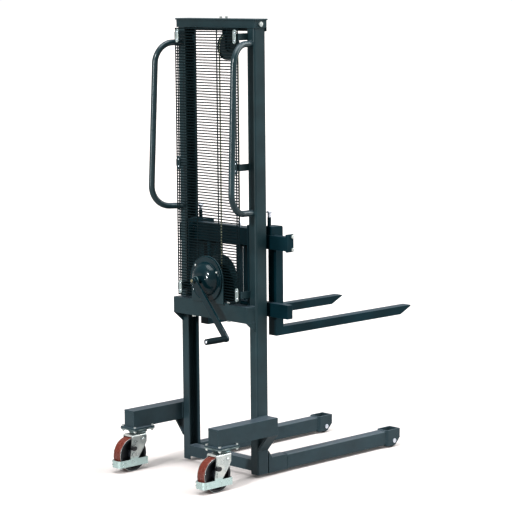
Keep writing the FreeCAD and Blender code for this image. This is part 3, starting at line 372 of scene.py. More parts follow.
@dataclass(frozen=True)
class PowderCoat:
    """Baked powder paint: a dark skin with orange peel, painted highlights along the edges, dust on
    top, and a paler tone near the floor that is partly dust and partly painted bounce light.
    """

    name: str
    tone: Colour
    gloss: float = 0.38
    shine: float = 0.28
    cloud: Pattern = Pattern(9.0, low=0.35, high=0.65)
    cloud_tones: tuple[float, float] = (0.82, 1.16)
    cloud_gloss: float = 0.24
    cloud_middle: float = 0.5
    speck: Pattern = Pattern(55.0, low=0.2, high=0.8)
    # This tone paints the dust on top faces, and also the paler tone near the floor, which is
    # partly dust and partly painted bounce light.
    dust: Colour = (0.10, 0.115, 0.14)
    dust_share: float = 0.5
    dust_specks: float = 0.4
    # Paler towards the floor: partly dust, partly painted light standing in for the floor's bounce.
    low_dust: float = 0.24
    low_specks: float = 0.3
    low_range: tuple[float, float] = (0.5, 0.1)
    # The edge fields set painted highlights along sharp edges: a paler tone there, and lower
    # roughness.
    edge_width: float = 2.6 * MM
    edge_share: float = 0.55
    edge_specks: float = 0.5
    edge_tone: float = 2.4
    edge_gloss: float = 0.1
    peel: Pattern = Pattern(1400.0, 2.0)
    peel_relief: Relief = Relief(0.35, 0.12 * MM)

    def build(self) -> bpy.types.Material:
        """Make the material: cloudy tone, painted edge highlights, dusty tops, a paler tone near
        the floor that is partly dust and partly painted bounce light, peel in the normal.

        Returns:
            The finished material.
        """
        graph = Graph.material(self.name)
        cloud, speck = graph.noise(self.cloud), graph.patches(self.speck)
        darker, lighter = (scaled(self.tone, share) for share in self.cloud_tones)
        base = graph.mix(graph.ramp(cloud, self.cloud.low, self.cloud.high), darker, lighter)
        fallen = graph.upward() * self._uneven(speck, self.dust_specks) * self.dust_share
        base = graph.mix(fallen, base, self.dust)
        # Paler towards the floor: partly dust, partly painted light standing in for the floor's
        # bounce.
        near_floor = graph.ramp(graph.height(), *self.low_range)
        low_dust_and_bounce_share = near_floor * self._uneven(speck, self.low_specks) * self.low_dust
        base = graph.mix(low_dust_and_bounce_share, base, self.dust)
        # Painted highlights: a paler tone along sharp edges, where light glances off the rounded
        # corners; the same mask also makes the edges glossier.
        edges = graph.edges(self.edge_width)
        edge_highlight = edges * self._uneven(speck, self.edge_specks) * self.edge_share
        base = graph.mix(edge_highlight, base, scaled(self.tone, self.edge_tone))
        clouded = (cloud - self.cloud_middle) * self.cloud_gloss
        return graph.surface(
            base_color=base,
            roughness=clouded + self.gloss - edge_highlight * self.edge_gloss,
            normal=graph.bump(graph.noise(self.peel), self.peel_relief),
            specular_ior_level=self.shine,
        )

    @staticmethod
    def _uneven(pattern: Socket, share: float) -> Socket:
        """One where a pattern is full, and less by the share where it is empty."""
        return pattern * share + (1.0 - share)


@dataclass(frozen=True)
class Enamel:
    """Glossy brushed-on enamel over pressed sheet, with slow waves, painted highlights on the rims
    and a clear top.
    """

    name: str
    tone: Colour
    gloss: float = 0.15
    coat: float = 0.15
    coat_gloss: float = 0.06
    shine: float = 0.22
    wave: Pattern = Pattern(28.0, 2.0)
    wave_relief: Relief = Relief(0.12, 0.6 * MM)
    smear: Pattern = Pattern(11.0, 4.0, 0.45, 0.7)
    smear_share: float = 0.5
    smear_tone: float = 1.7
    smear_gloss: float = 0.12
    edge_width: float = 1.6 * MM
    edge_share: float = 0.6
    edge_tone: float = 5.0

    def build(self) -> bpy.types.Material:
        """Make the material: a deep tone, uneven gloss, painted highlights on the rims and a faint
        wave.

        Returns:
            The finished material.
        """
        graph = Graph.material(self.name)
        smear = graph.patches(self.smear)
        base = graph.mix(smear * self.smear_share, self.tone, scaled(self.tone, self.smear_tone))
        # Painted highlights: a paler tone along the rims.
        edges = graph.edges(self.edge_width) * self.edge_share
        return graph.surface(
            base_color=graph.mix(edges, base, scaled(self.tone, self.edge_tone)),
            roughness=smear * self.smear_gloss + self.gloss,
            coat_weight=self.coat,
            coat_roughness=self.coat_gloss,
            specular_ior_level=self.shine,
            normal=graph.bump(graph.noise(self.wave), self.wave_relief),
        )


@dataclass(frozen=True)
class ZincPlate:
    """Passivated zinc on pressed steel: pale, faintly blue-green, with warmer patches and lines."""

    name: str
    tone: Colour
    tint: Colour
    gloss: float = 0.24
    metal: float = 0.85
    blush: Colour | None = None
    blush_range: tuple[float, float] = (0.058, 0.048)
    patch: Pattern = Pattern(38.0, 4.0, 0.4, 0.66)
    patch_gloss: float = 0.16
    drawn: Pattern = Pattern(240.0, 2.0, 0.62, 0.8, (1.0, 1.0, 0.08))
    drawn_share: float = 0.35
    drawn_tone: float = 0.6
    drawn_relief: Relief = Relief(0.15, 0.2 * MM)
    edge_width: float = 1.2 * MM
    edge_share: float = 0.35
    edge_tone: float = 0.45

    def build(self) -> bpy.types.Material:
        """Make the material: two tints in patches, a bluer one low down, scratches, dull edges.

        Returns:
            The finished material.
        """
        graph = Graph.material(self.name)
        patch, drawn = graph.patches(self.patch), graph.noise(self.drawn)
        base = graph.mix(patch, self.tone, self.tint)
        if self.blush is not None:
            base = graph.mix(graph.ramp(graph.height(), *self.blush_range), base, self.blush)
        lines = graph.ramp(drawn, self.drawn.low, self.drawn.high) * self.drawn_share
        base = graph.mix(lines, base, scaled(self.tone, self.drawn_tone))
        edges = graph.edges(self.edge_width) * self.edge_share
        return graph.surface(
            base_color=graph.mix(edges, base, scaled(self.tone, self.edge_tone)),
            metallic=self.metal,
            roughness=patch * self.patch_gloss + self.gloss,
            normal=graph.bump(drawn, self.drawn_relief),
        )


@dataclass(frozen=True)
class TurnedSteel:
    """Machined steel with fine feed marks and a little oil film."""

    name: str
    tone: Colour
    gloss: float = 0.26
    metal: float = 0.95
    film: Pattern = Pattern(45.0, 3.0, 0.4, 0.75)
    film_share: float = 0.6
    film_tone: float = 0.55
    film_gloss: float = 0.2
    marks: Pattern = Pattern(900.0, 1.0, stretch=(1.0, 1.0, 0.15))
    marks_relief: Relief = Relief(0.12, 0.1 * MM)

    def build(self) -> bpy.types.Material:
        """Make the material: feed marks along the axes and a smoky film.

        Returns:
            The finished material.
        """
        graph = Graph.material(self.name)
        film = graph.patches(self.film)
        smoky = scaled(self.tone, self.film_tone)
        return graph.surface(
            base_color=graph.mix(film * self.film_share, self.tone, smoky),
            metallic=self.metal,
            roughness=film * self.film_gloss + self.gloss,
            normal=graph.bump(graph.noise(self.marks), self.marks_relief),
        )


@dataclass(frozen=True)
class Moulded:
    """Moulded rubber, nylon or plastic: matt, with a fine grain and scuffs."""

    name: str
    tone: Colour
    scuff: Colour
    gloss: float = 0.5
    scuff_share: float = 0.5
    shine: float = 0.5
    scuffs: Pattern = Pattern(70.0, 5.0, 0.48, 0.78)
    scuff_gloss: float = 0.25
    grain: Pattern = Pattern(1100.0, 2.0)
    grain_relief: Relief = Relief(0.3, 0.15 * MM)

    def build(self) -> bpy.types.Material:
        """Make the material: grain in the normal, scuffed patches in tone and gloss.

        Returns:
            The finished material.
        """
        graph = Graph.material(self.name)
        edge_highlight = graph.patches(self.scuffs) * self.scuff_share
        return graph.surface(
            base_color=graph.mix(edge_highlight, self.tone, self.scuff),
            roughness=edge_highlight * self.scuff_gloss + self.gloss,
            normal=graph.bump(graph.noise(self.grain), self.grain_relief),
            specular_ior_level=self.shine,
        )


@dataclass(frozen=True)
class StrandedWire:
    """Wire rope: strands that wind round the line, worked from its own UV map."""

    name: str
    tone: Colour
    groove: Colour
    strands: float = 6.0
    metal: float = 0.6
    gloss: float = 0.55
    crown_gloss: float = 0.2
    relief: Relief = Relief(0.6, 0.6 * MM)
    grease: Pattern = Pattern(30.0, 3.0, 0.4, 0.7)
    grease_share: float = 0.5

    def build(self) -> bpy.types.Material:
        """Make the material: a sine across strands that turns as it runs along the rope.

        Returns:
            The finished material.
        """
        graph = Graph.material(self.name)
        where = graph.place("UV")
        along, around = graph.part(where, "X"), graph.part(where, "Y")
        lay = ((around * self.strands + along) * math.tau).sine() * 0.5 + 0.5
        base = graph.mix(lay, self.groove, self.tone)
        base = graph.mix(graph.patches(self.grease) * self.grease_share, base, self.groove)
        return graph.surface(
            base_color=base,
            metallic=self.metal,
            roughness=self.gloss - lay * self.crown_gloss,
            normal=graph.bump(lay, self.relief),
        )


@dataclass(frozen=True)
class PaleFloor:
    """Seamless studio floor: nearly white, with a faint warm cloud, lit through from below."""

    name: str = "pale_floor"
    tone: Colour = (0.53, 0.495, 0.487)
    cloud: Pattern = Pattern(0.8, 2.0)
    cloud_share: float = 0.3
    cloud_tone: float = 0.99
    absorbed: float = 0.9
    bounce: Colour = (0.09, 0.20, 0.21)
    glow: Colour = (0.10, 0.092, 0.09)
    matt: float = 0.9
    shine: float = 0.05

    def build(self) -> bpy.types.Material:
        """Make the material: a matt pale tone that throws only part of its light back.

        Returns:
            The finished material.
        """
        graph = Graph.material(self.name)
        cloud = graph.noise(self.cloud) * self.cloud_share
        base = graph.mix(cloud, self.tone, scaled(self.tone, self.cloud_tone))
        scattered = graph.ray("Is Diffuse Ray") * self.absorbed
        return graph.surface(
            base_color=graph.mix(scattered, base, self.bounce),
            roughness=self.matt,
            specular_ior_level=self.shine,
            emission_color=self.glow,
            emission_strength=1.0,
        )


@dataclass
class Palette:
    """Every finish on the machine, by the record's slot."""

    paint_tone: Colour = (0.017, 0.040, 0.047)
    made: dict[Slot, bpy.types.Material] = field(default_factory=dict)
    yellow_zinc: bpy.types.Material | None = None
    navy_paint: bpy.types.Material | None = None
    handle_paint: bpy.types.Material | None = None
    wire_paint: bpy.types.Material | None = None
    clip_zinc: bpy.types.Material | None = None
    plate_zinc: bpy.types.Material | None = None

    def build(self) -> Palette:
        """Make each slot's material once, and the finishes of single pieces.

        Returns:
            This palette, filled.
        """
        zinc = ZincPlate(
            "passivated_zinc",
            (0.44, 0.48, 0.475),
            (0.55, 0.57, 0.55),
            blush=(0.44, 0.545, 0.535),
        )
        grip = Moulded("black_moulding", (0.012, 0.013, 0.015), (0.035, 0.035, 0.04), gloss=0.42)
        tread = Moulded("cast_tread", (0.150, 0.034, 0.022), (0.22, 0.068, 0.046), 0.26, 0.35)
        core = Moulded("wheel_core", (0.008, 0.010, 0.014), (0.022, 0.025, 0.032), gloss=0.4)
        nylon = Moulded("roller_moulding", (0.006, 0.013, 0.016), (0.02, 0.03, 0.034), gloss=0.45)
        finishes = {
            Slot.PAINT: PowderCoat("anthracite_powder_coat", self.paint_tone),
            Slot.ENAMEL: Enamel("winch_enamel", (0.003, 0.019, 0.025)),
            Slot.GRIP: grip,
            Slot.ZINC: zinc,
            Slot.STEEL: TurnedSteel("turned_steel", (0.56, 0.60, 0.66)),
            Slot.ROPE: StrandedWire("lifting_rope", (0.44, 0.46, 0.33), (0.06, 0.065, 0.05)),
            Slot.TREAD: tread,
            Slot.CORE: core,
            Slot.NYLON: nylon,
            Slot.BEARING: TurnedSteel("bearing_steel", (0.42, 0.42, 0.42), gloss=0.3),
        }
        self.made = {slot: finish.build() for slot, finish in finishes.items()}
        self.yellow_zinc = ZincPlate(
            "yellow_zinc", (0.16, 0.15, 0.095), (0.33, 0.31, 0.22), gloss=0.34, metal=0.8
        ).build()
        self.navy_paint = PowderCoat(
            "carriage_powder_coat", (0.003, 0.025, 0.034), dust_share=0.4, shine=0.12
        ).build()
        self.handle_paint = PowderCoat(
            "handled_powder_coat", self.paint_tone, gloss=0.26, shine=0.4
        ).build()
        self.wire_paint = Moulded(
            "dark_dip_coat", (0.002, 0.011, 0.014), (0.006, 0.019, 0.023), 0.6, 0.0, 0.12
        ).build()
        self.clip_zinc = ZincPlate("dull_zinc", (0.30, 0.36, 0.36), (0.40, 0.45, 0.44)).build()
        # A darker zinc, for the castor plates and the crank's washers.
        self.plate_zinc = ZincPlate(
            "stained_zinc", (0.09, 0.13, 0.135), (0.24, 0.29, 0.29), gloss=0.34
        ).build()
        return self

    def dress(
        self, piece: bpy.types.Object, slot: Slot, finish: bpy.types.Material | None = None
    ) -> bpy.types.Object:
        """Give a piece its finish.

        Args:
            piece: the object to dress.
            slot: the record's slot that the piece belongs to.
            finish: a material of its own, or None for the slot's.

        Returns:
            The piece.
        """
        piece.data.materials.clear()
        piece.data.materials.append(finish or self.made[slot])
        return piece

    def add(
        self,
        name: str,
        shape: Shape,
        slot: Slot,
        body: str,
        finish: bpy.types.Material | None = None,
        crease: float = CREASE,
        node: str | None = None,
    ) -> None:
        """Make a piece from a shape, dress it and let it ride on a body.

        Args:
            name: the piece's name.
            shape: its points and faces.
            slot: the record's slot that it belongs to.
            body: the body that carries it.
            finish: a material of its own, or None for the slot's.
            crease: angle in degrees above which an edge stays sharp.
            node: the CAD piece that it stands for, if any.
        """
        piece = self.dress(mesh_object(name, shape, crease), slot, finish)
        if node is not None:
            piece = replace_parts(piece, node)
        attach(piece, body)


def middle_of(node: str) -> Vector:
    """The middle of a CAD piece's box."""
    low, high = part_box(node)
    return (low + high) / 2


def points_of(*coordinates: Any) -> np.ndarray:
    """Points from their coordinates, where a single number holds for every point."""
    return np.stack(np.broadcast_arrays(*coordinates), axis=-1)


def round_angles(sides: int) -> np.ndarray:
    """Evenly spaced angles of a full turn, without its end."""
    return np.linspace(0.0, math.tau, sides, endpoint=False)


def grid_quads(rows: int, columns: int, closed: bool = False) -> np.ndarray:
    """Quads of a grid that closes on itself across its columns, and along its rows if asked.

    Args:
        rows: rings along the grid.
        columns: points round each ring.
        closed: whether the last ring joins the first.

    Returns:
        Vertex numbers, four per quad, wound so that rings running forward face outwards.
    """
    start = np.arange(rows if closed else rows - 1)[:, None]
    ring, following = start * columns, (start + 1) % rows * columns
    here = np.arange(columns)[None, :]
    after = (here + 1) % columns
    quads = [ring + here, ring + after, following + after, following + here]
    return np.stack(quads, axis=-1).reshape(-1, 4)


def joined(*shapes: Shape) -> Shape:
    """Put several shapes into one.

    Args:
        shapes: points and faces of each.

    Returns:
        All the points, and faces that count on from shape to shape.
    """
    points, faces, start = [], [], 0
    for corners, sides in shapes:
        points.append(corners)
        faces += [[corner + start for corner in face] for face in sides]
        start += len(corners)
    return np.concatenate(points), faces


def mesh_object(name: str, shape: Shape, crease: float | None = CREASE) -> bpy.types.Object:
    """Put a shape into a new object at the origin.

    Args:
        name: the piece's name.
        shape: points in metres and the corner numbers of every face.
        crease: angle in degrees above which an edge stays sharp, or None for flat faces.

    Returns:
        The linked object.
    """
    points, faces = shape
    mesh = bpy.data.meshes.new(name)
    mesh.from_pydata(points.tolist(), [], [list(map(int, face)) for face in faces])
    mesh.update()
    mesh.polygons.foreach_set("use_smooth", np.full(len(mesh.polygons), crease is not None))
    if crease is not None:
        mesh.set_sharp_from_angle(angle=math.radians(crease))
    piece = bpy.data.objects.new(name, mesh)
    bpy.context.scene.collection.objects.link(piece)
    return piece


def spokes_round(axis: Axis, sides: int) -> tuple[np.ndarray, np.ndarray]:
    """Directions across an axis: first cos a + second sin a, turning right-handed round it.

    Args:
        axis: any direction.
        sides: number of directions.

    Returns:
        The directions and the axis, each of length one.
    """
    along = np.asarray(axis, float) / np.linalg.norm(axis)
    first = np.cross(ACROSS if abs(along[2]) >= STEEP else UP, along)
    first /= np.linalg.norm(first)
    angle = round_angles(sides)
    second = np.cross(along, first)
    return np.outer(np.cos(angle), first) + np.outer(np.sin(angle), second), along


def capped(rings: np.ndarray) -> Shape:
    """Faces over stacks of rings, each stack closed by a flat face at both ends.

    Args:
        rings: points with shape stacks by rows by columns by three.

    Returns:
        Points and faces.
    """
    stacks, rows, columns, _ = rings.shape
    offsets = np.arange(stacks)[:, None, None] * (rows * columns)
    walls = (grid_quads(rows, columns)[None] + offsets).reshape(-1, 4).tolist()
    low = np.arange(columns)[::-1][None] + offsets[:, 0]
    high = np.arange(columns)[None] + (rows - 1) * columns + offsets[:, 0]
    return rings.reshape(-1, 3), walls + low.tolist() + high.tolist()


def turned(profile: Profile, centres: np.ndarray, axis: Axis, sides: int = 24) -> Shape:
    """Round pieces turned from one profile, many at once.

    A point is centre + axis times height + radius times a spoke, for each row of the profile.

    Args:
        profile: radius and height along the axis in millimetres, from the foot to the top.
        centres: foot of each piece.
        axis: direction of growth.
        sides: points round each piece, six for a nut.

    Returns:
        Points and faces of closed pieces.
    """
    spokes, along = spokes_round(axis, sides)
    radius, height = np.asarray(profile, float).T[..., None, None] * MM
    one = height * along + radius * spokes[None]
    return capped(np.asarray(centres, float)[:, None, None, :] + one[None])


def hoop(section: np.ndarray, centre: Sequence[float], axis: Axis, sides: int = 96) -> Shape:
    """A ring whose closed section is carried round an axis.

    A point is centre + axis times height + radius times a spoke, for each corner of the section.

    Args:
        section: pairs of radius and height, running up on the outside and down on the inside.
        centre: a point on the axis.
        axis: direction of the heights.
        sides: steps round the axis.

    Returns:
        Points and faces of a closed ring.
    """
    spokes, along = spokes_round(axis, sides)
    radius, height = section.T[..., None, None]
    points = np.asarray(centre, float) + height * along + radius * spokes[None]
    return points.reshape(-1, 3), grid_quads(len(section), sides, closed=True).tolist()


def round_section(
    radius: float, thick: float, height: float = 0.0, corners: int = 12
) -> np.ndarray:
    """The section of a round hoop: radius + thick cos b, height + thick sin b."""
    angle = round_angles(corners)
    return points_of(radius + thick * np.cos(angle), height + thick * np.sin(angle))


def swept(path: np.ndarray, radii: np.ndarray, sides: int, reference: Axis) -> np.ndarray:
    """Rings of a round section carried along a path.

    Each ring lies across the path's tangent: its first axis is the tangent crossed with a fixed
    reference, its second the tangent crossed with the first, and the ring is
    centre + radius (first cos a + second sin a).

    Args:
        path: centre points, one row each.
        radii: radius at each point.
        sides: points round the section.
        reference: a direction that the path never runs along.

    Returns:
        Ring points, with shape path length by sides by three.
    """
    tangent = np.gradient(path, axis=0)
    tangent /= np.linalg.norm(tangent, axis=1, keepdims=True)
    first = np.cross(tangent, np.asarray(reference, float))
    first /= np.linalg.norm(first, axis=1, keepdims=True)
    second = np.cross(tangent, first)
    angle = round_angles(sides)[None, :, None]
    spokes = first[:, None] * np.cos(angle) + second[:, None] * np.sin(angle)
    return path[:, None] + spokes * radii[:, None, None]


def rope_object(
    name: str, path: np.ndarray, radius: float, sides: int, reference: Axis, lay: float
) -> bpy.types.Object:
    """A closed round rope along a path, with a UV map that runs along and round it.

    Args:
        name: the piece's name.
        path: centre points.
        radius: half the rope's thickness.
        sides: points round the section.
        reference: a direction that the path never runs along.
        lay: length in metres of one turn of the strands.

    Returns:
        The linked object.
    """
    rings = swept(path, np.full(len(path), radius), sides, reference)
    piece = mesh_object(name, capped(rings[None]))
    steps = np.linalg.norm(np.diff(path, axis=0), axis=1)
    along = np.concatenate([[0.0], np.cumsum(steps)]) / lay
    corner = np.empty(len(piece.data.loops), np.int32)
    piece.data.loops.foreach_get("vertex_index", corner)
    turn = (corner % sides) / sides
    wraps = np.zeros(len(corner), bool)
    last = np.tile(np.arange(sides) == sides - 1, len(path) - 1)
    wraps[: len(last) * 4] = np.repeat(last, 4)
    turn = np.where(wraps & (turn == 0.0), 1.0, turn)
    layer = piece.data.uv_layers.new(name="lay")
    layer.data.foreach_set(
        "uv", points_of(along[corner // sides], turn).astype(np.float32).ravel()
    )
    return piece


def bars(starts: np.ndarray, ends: np.ndarray, radius: float, sides: int) -> Shape:
    """Straight round bars in one common direction: two rings each, closed by flat ends."""
    spokes, _ = spokes_round(tuple((ends - starts)[0]), sides)
    return capped(np.stack([starts, ends], axis=1)[:, :, None, :] + radius * spokes[None, None])


@dataclass
class CadFinish:
    """Rounds the edges of the CAD pieces and gives each its slot's finish."""

    palette: Palette
    frame: Mapping[str, Any]
    edge_round: float = 0.9 * MM
    edge_steps: int = 2
    edge_angle: float = 35.0
    weld_gap: float = 0.01 * MM
    area_weight: int = 60
    navy: tuple[str, ...] = (
        "upper_fork_bar", "lower_fork_bar", "fork_stops", "carriage_frame",
        "carriage_side_plates", "left_fork", "right_fork", "rope_anchor",
    )
    dipped: tuple[str, ...] = ("pulley_axle", "pulley_hanger", "crank_grip")
    crisp: tuple[str, ...] = (
        "guard_mesh", "rope_run", "rope_fall", "rope_winding", "brake_cover", "guard_clips",
    )

    def build(self) -> None:
        """Weld each node's loose triangles, round its edges and dress it."""
        slots = {part["node"]: part["material_slot"] for part in self.frame["record"]["subparts"]}
        special = {name: self.palette.navy_paint for name in self.navy}
        special |= {name: self.palette.wire_paint for name in self.dipped}
        special |= {f"{side.label}_handle": self.palette.handle_paint for side in Side}
        special["castor_plates"] = self.palette.plate_zinc
        for name, piece in self.frame["nodes"].items():
            self.palette.dress(piece, Slot(slots[name]), special.get(name))
            if name not in self.crisp:
                self.round_edges(piece)
        LOG.info("dressed %d CAD pieces", len(slots))

    def round_edges(self, piece: bpy.types.Object) -> None:
        """Add live modifiers: weld, bevel by angle and area-weighted normals.

        Args:
            piece: the object to round.
        """
        weld = piece.modifiers.new("weld", "WELD")
        weld.merge_threshold = self.weld_gap
        bevel = piece.modifiers.new("edges", "BEVEL")
        bevel.width = self.edge_round
        bevel.segments = self.edge_steps
        bevel.limit_method = "ANGLE"
        bevel.angle_limit = math.radians(self.edge_angle)
        bevel.miter_outer = "MITER_ARC"
        polygons = piece.data.polygons
        polygons.foreach_set("use_smooth", np.full(len(polygons), True))
        normals = piece.modifiers.new("normals", "WEIGHTED_NORMAL")
        normals.keep_sharp = True
        normals.weight = self.area_weight


@dataclass
class Reshaped:
    """CAD pieces redrawn from their own surfaces, moved where the photograph differs a little."""

    palette: Palette
    finish: CadFinish
    slant: float = 30.0 * MM
    slant_longer: float = 26.0 * MM
    near: float = 1.0 * MM
    lean_in: float = 6.2 * MM
    lean_ahead: float = 5.9 * MM
    grip_back: float = 107.0 * MM
    middle_band: tuple[float, float] = (0.25, 0.75)

    def build(self) -> None:
        """Redraw both forks, both handles and the guard's brackets."""
        navy, handled = self.palette.navy_paint, self.palette.handle_paint
        frame = Body.FRAME.value
        for side in Side:
            fork, handle = f"{side.label}_fork", f"{side.label}_handle"
            self._redraw(fork, f"{fork}_bar", fork, navy, self._longer_slant)
            self._redraw(handle, f"{handle}_tube", frame, handled, self._leaning)
        self._redraw("guard_brackets", "guard_bracket_arms", frame, None, self._levelled)
        LOG.info("forks, handles and guard brackets redrawn")

    def _redraw(
        self,
        node: str,
        name: str,
        body: str,
        paint: bpy.types.Material | None,
        move: Callable[[np.ndarray, Vector, Vector], np.ndarray],
    ) -> None:
        """Copy a node's surface and move the copy's points.

        Args:
            node: the CAD piece.
            name: the new piece's name.
            body: the body that carries it.
            paint: its own finish, or None for the slot's.
            move: gives the points' offsets from the points and the node's box.
        """
        data = self.finish.frame["nodes"][node].data.copy()
        points = np.empty(len(data.vertices) * 3)
        data.vertices.foreach_get("co", points)
        points = points.reshape(-1, 3)
        data.vertices.foreach_set("co", (points + move(points, *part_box(node))).ravel())
        data.update()
        piece = bpy.data.objects.new(name, data)
        bpy.context.scene.collection.objects.link(piece)
        self.palette.dress(piece, Slot.PAINT, paint)
        self.finish.round_edges(piece)
        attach(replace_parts(piece, node), body)

    def _longer_slant(self, points: np.ndarray, low: Vector, high: Vector) -> np.ndarray:
        """The foot of the slant under a fork's tip slides back along the underside.

        Args:
            points: the piece's points.
            low: lowest corner of the piece's box.
            high: highest corner of the piece's box.

        Returns:
            How far each point goes.
        """
        at_tip = points[:, 1] > high.y - self.slant - self.near
        offset = np.zeros_like(points)
        offset[at_tip & (points[:, 2] < low.z + self.near), 1] = -self.slant_longer
        return offset

    def _leaning(self, points: np.ndarray, low: Vector, high: Vector) -> np.ndarray:
        """A handle leans in and forward by rise times reach.

        Rise runs from nought at its foot to one at its head, and reach from nought at the mast
        to one at the grip.

        Args:
            points: the piece's points.
            low: lowest corner of the piece's box.
            high: highest corner of the piece's box.

        Returns:
            How far each point goes.
        """
        rise = np.clip((points[:, 2] - low.z) / (high.z - low.z), 0.0, 1.0)
        share = rise * np.clip((high.y - points[:, 1]) / self.grip_back, 0.0, 1.0)
        inward = -np.sign(points[:, 0]) * self.lean_in * share
        return points_of(inward, self.lean_ahead * share, 0.0)

    def _levelled(self, points: np.ndarray, low: Vector, high: Vector) -> np.ndarray:
        """The brackets half way up go down a little.

        Args:
            points: the piece's points.
            low: lowest corner of the piece's box.
            high: highest corner of the piece's box.

        Returns:
            How far each point goes.
        """
        share = (points[:, 2] - low.z) / (high.z - low.z)
        bottom, top = self.middle_band
        offset = np.zeros_like(points)
        offset[(share > bottom) & (share < top), 2] = -MIDDLE_LOWER
        return offset


@dataclass
class GuardScreen:
    """Welded wire screen behind the rope: round cross wires on upright edge wires and two ribs."""

    palette: Palette
    pitch: float = 10.0 * MM
    wire: float = 2.6 * MM
    coat: float = 0.75 * MM
    edge_gap: float = 11.0 * MM
    rib: float = 55.0 * MM
    window: float = 20.0 * MM
    overlap: float = 0.6
    sides: int = 8
    crease: float = 60.0

    def build(self) -> None:
        """Lay the cross wires on a pitch and the uprights before them, with a small overlap."""
        low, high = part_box("guard_mesh")
        shaft, radius, half = middle_of("rope_drum").z, self.wire / 2, high.x
        rows = int(round((high.z - low.z - self.wire) / self.pitch)) + 1
        heights = low.z + radius + self.pitch * np.arange(rows)
        inside = np.abs(heights - shaft) < self.window - radius
        whole, split = heights[~inside], heights[inside]
        rear, front = low.y + radius, high.y - radius * self.overlap
        spans = [(whole, -half, half), (split, -half, -self.window), (split, self.window, half)]
        wires = [
            self._wires(points_of(start, rear, levels), points_of(end, rear, levels))
            for levels, start, end in spans
        ]
        outer = half - radius
        inner = np.array([outer, outer - self.edge_gap, self.rib])
        framing = np.array([self.window])
        window_foot, window_head = whole[whole < shaft].max(), whole[whole > shaft].min()
        for places, foot, head in ((inner, low.z, high.z), (framing, window_foot, window_head)):
            both = np.concatenate([-places, places])
            wires.append(self._wires(points_of(both, front, foot), points_of(both, front, head)))
        self.palette.add(
            "guard_wires",
            joined(*wires),
            Slot.PAINT,
            Body.FRAME.value,
            self.palette.wire_paint,
            self.crease,
            "guard_mesh",
        )
        LOG.info("guard screen of %d cross wires", rows)

    def _wires(self, starts: np.ndarray, ends: np.ndarray) -> Shape:
        """Wires between two rows of points, thicker by their coat."""
        return bars(starts, ends, self.wire / 2 + self.coat, self.sides)


@dataclass
class GuardClips:
    """Pressed oval clamp plates on the screen: a raised rim round a sunk field, two screws each."""

    palette: Palette
    width: float = 16.0 * MM
    height: float = 50.0 * MM
    level_share: float = 0.5106383
    corners: int = 48
    rim: Profile = (
        (0.0, 0.0), (0.0, 2.4), (0.7, 3.6), (1.8, 4.0), (2.8, 3.9), (3.8, 2.6), (4.6, 2.5),
    )
    screw_spread: float = 13.0 * MM
    screw_out: float = 2.4 * MM
    screw_sides: int = 16
    screw: Profile = ((3.1, 0.0), (3.1, 0.5), (2.6, 1.2), (1.3, 1.6))

    def build(self) -> None:
        """Make plated clips at the top and foot of the screen and painted ones half way up."""
        low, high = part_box("guard_clips")
        across = high.x - self.width / 2
        foot, head = low.z + self.height / 2, high.z - self.height / 2
        middle = foot + (head - foot) * self.level_share - MIDDLE_LOWER
        pair = np.array([-across, across])
        ends = np.concatenate([points_of(pair, high.y, level) for level in (foot, head)])
        halfway = points_of(pair, high.y, middle)
        frame, zinc = Body.FRAME.value, self.palette.clip_zinc
        self.palette.add(
            "guard_end_clips", self._plates(ends), Slot.ZINC, frame, zinc, node="guard_clips"
        )
        self.palette.add("guard_middle_clips", self._plates(halfway), Slot.PAINT, frame)
        feet = np.concatenate([ends, halfway])
        steps = [(0.0, -self.screw_out, way * self.screw_spread) for way in (1.0, -1.0)]
        centres = np.concatenate([feet + np.array(step) for step in steps])
        screws = turned(self.screw, centres, REARWARD, self.screw_sides)
        self.palette.add("guard_clip_screws", screws, Slot.STEEL, frame)
        LOG.info("guard clips at three levels")

    def _plates(self, centres: np.ndarray) -> Shape:
        """Oval plates: rings of radius r about two end points, from the rim's steps.

        A point is centre + (r cos a, -depth, r sin a + half the straight length with the sign
        of sin a).

        Args:
            centres: middle of each plate's rear face.

        Returns:
            Points and faces of closed plates.
        """
        inset, depth = np.array(self.rim).T[..., None] * MM
        angle = round_angles(self.corners) + math.pi / self.corners
        reach = self.width / 2 - inset
        straight = np.sign(np.sin(angle)) * (self.height - self.width) / 2
        one = points_of(reach * np.cos(angle), -depth, reach * np.sin(angle) + straight)
        return capped(centres[:, None, None, :] + one[None])


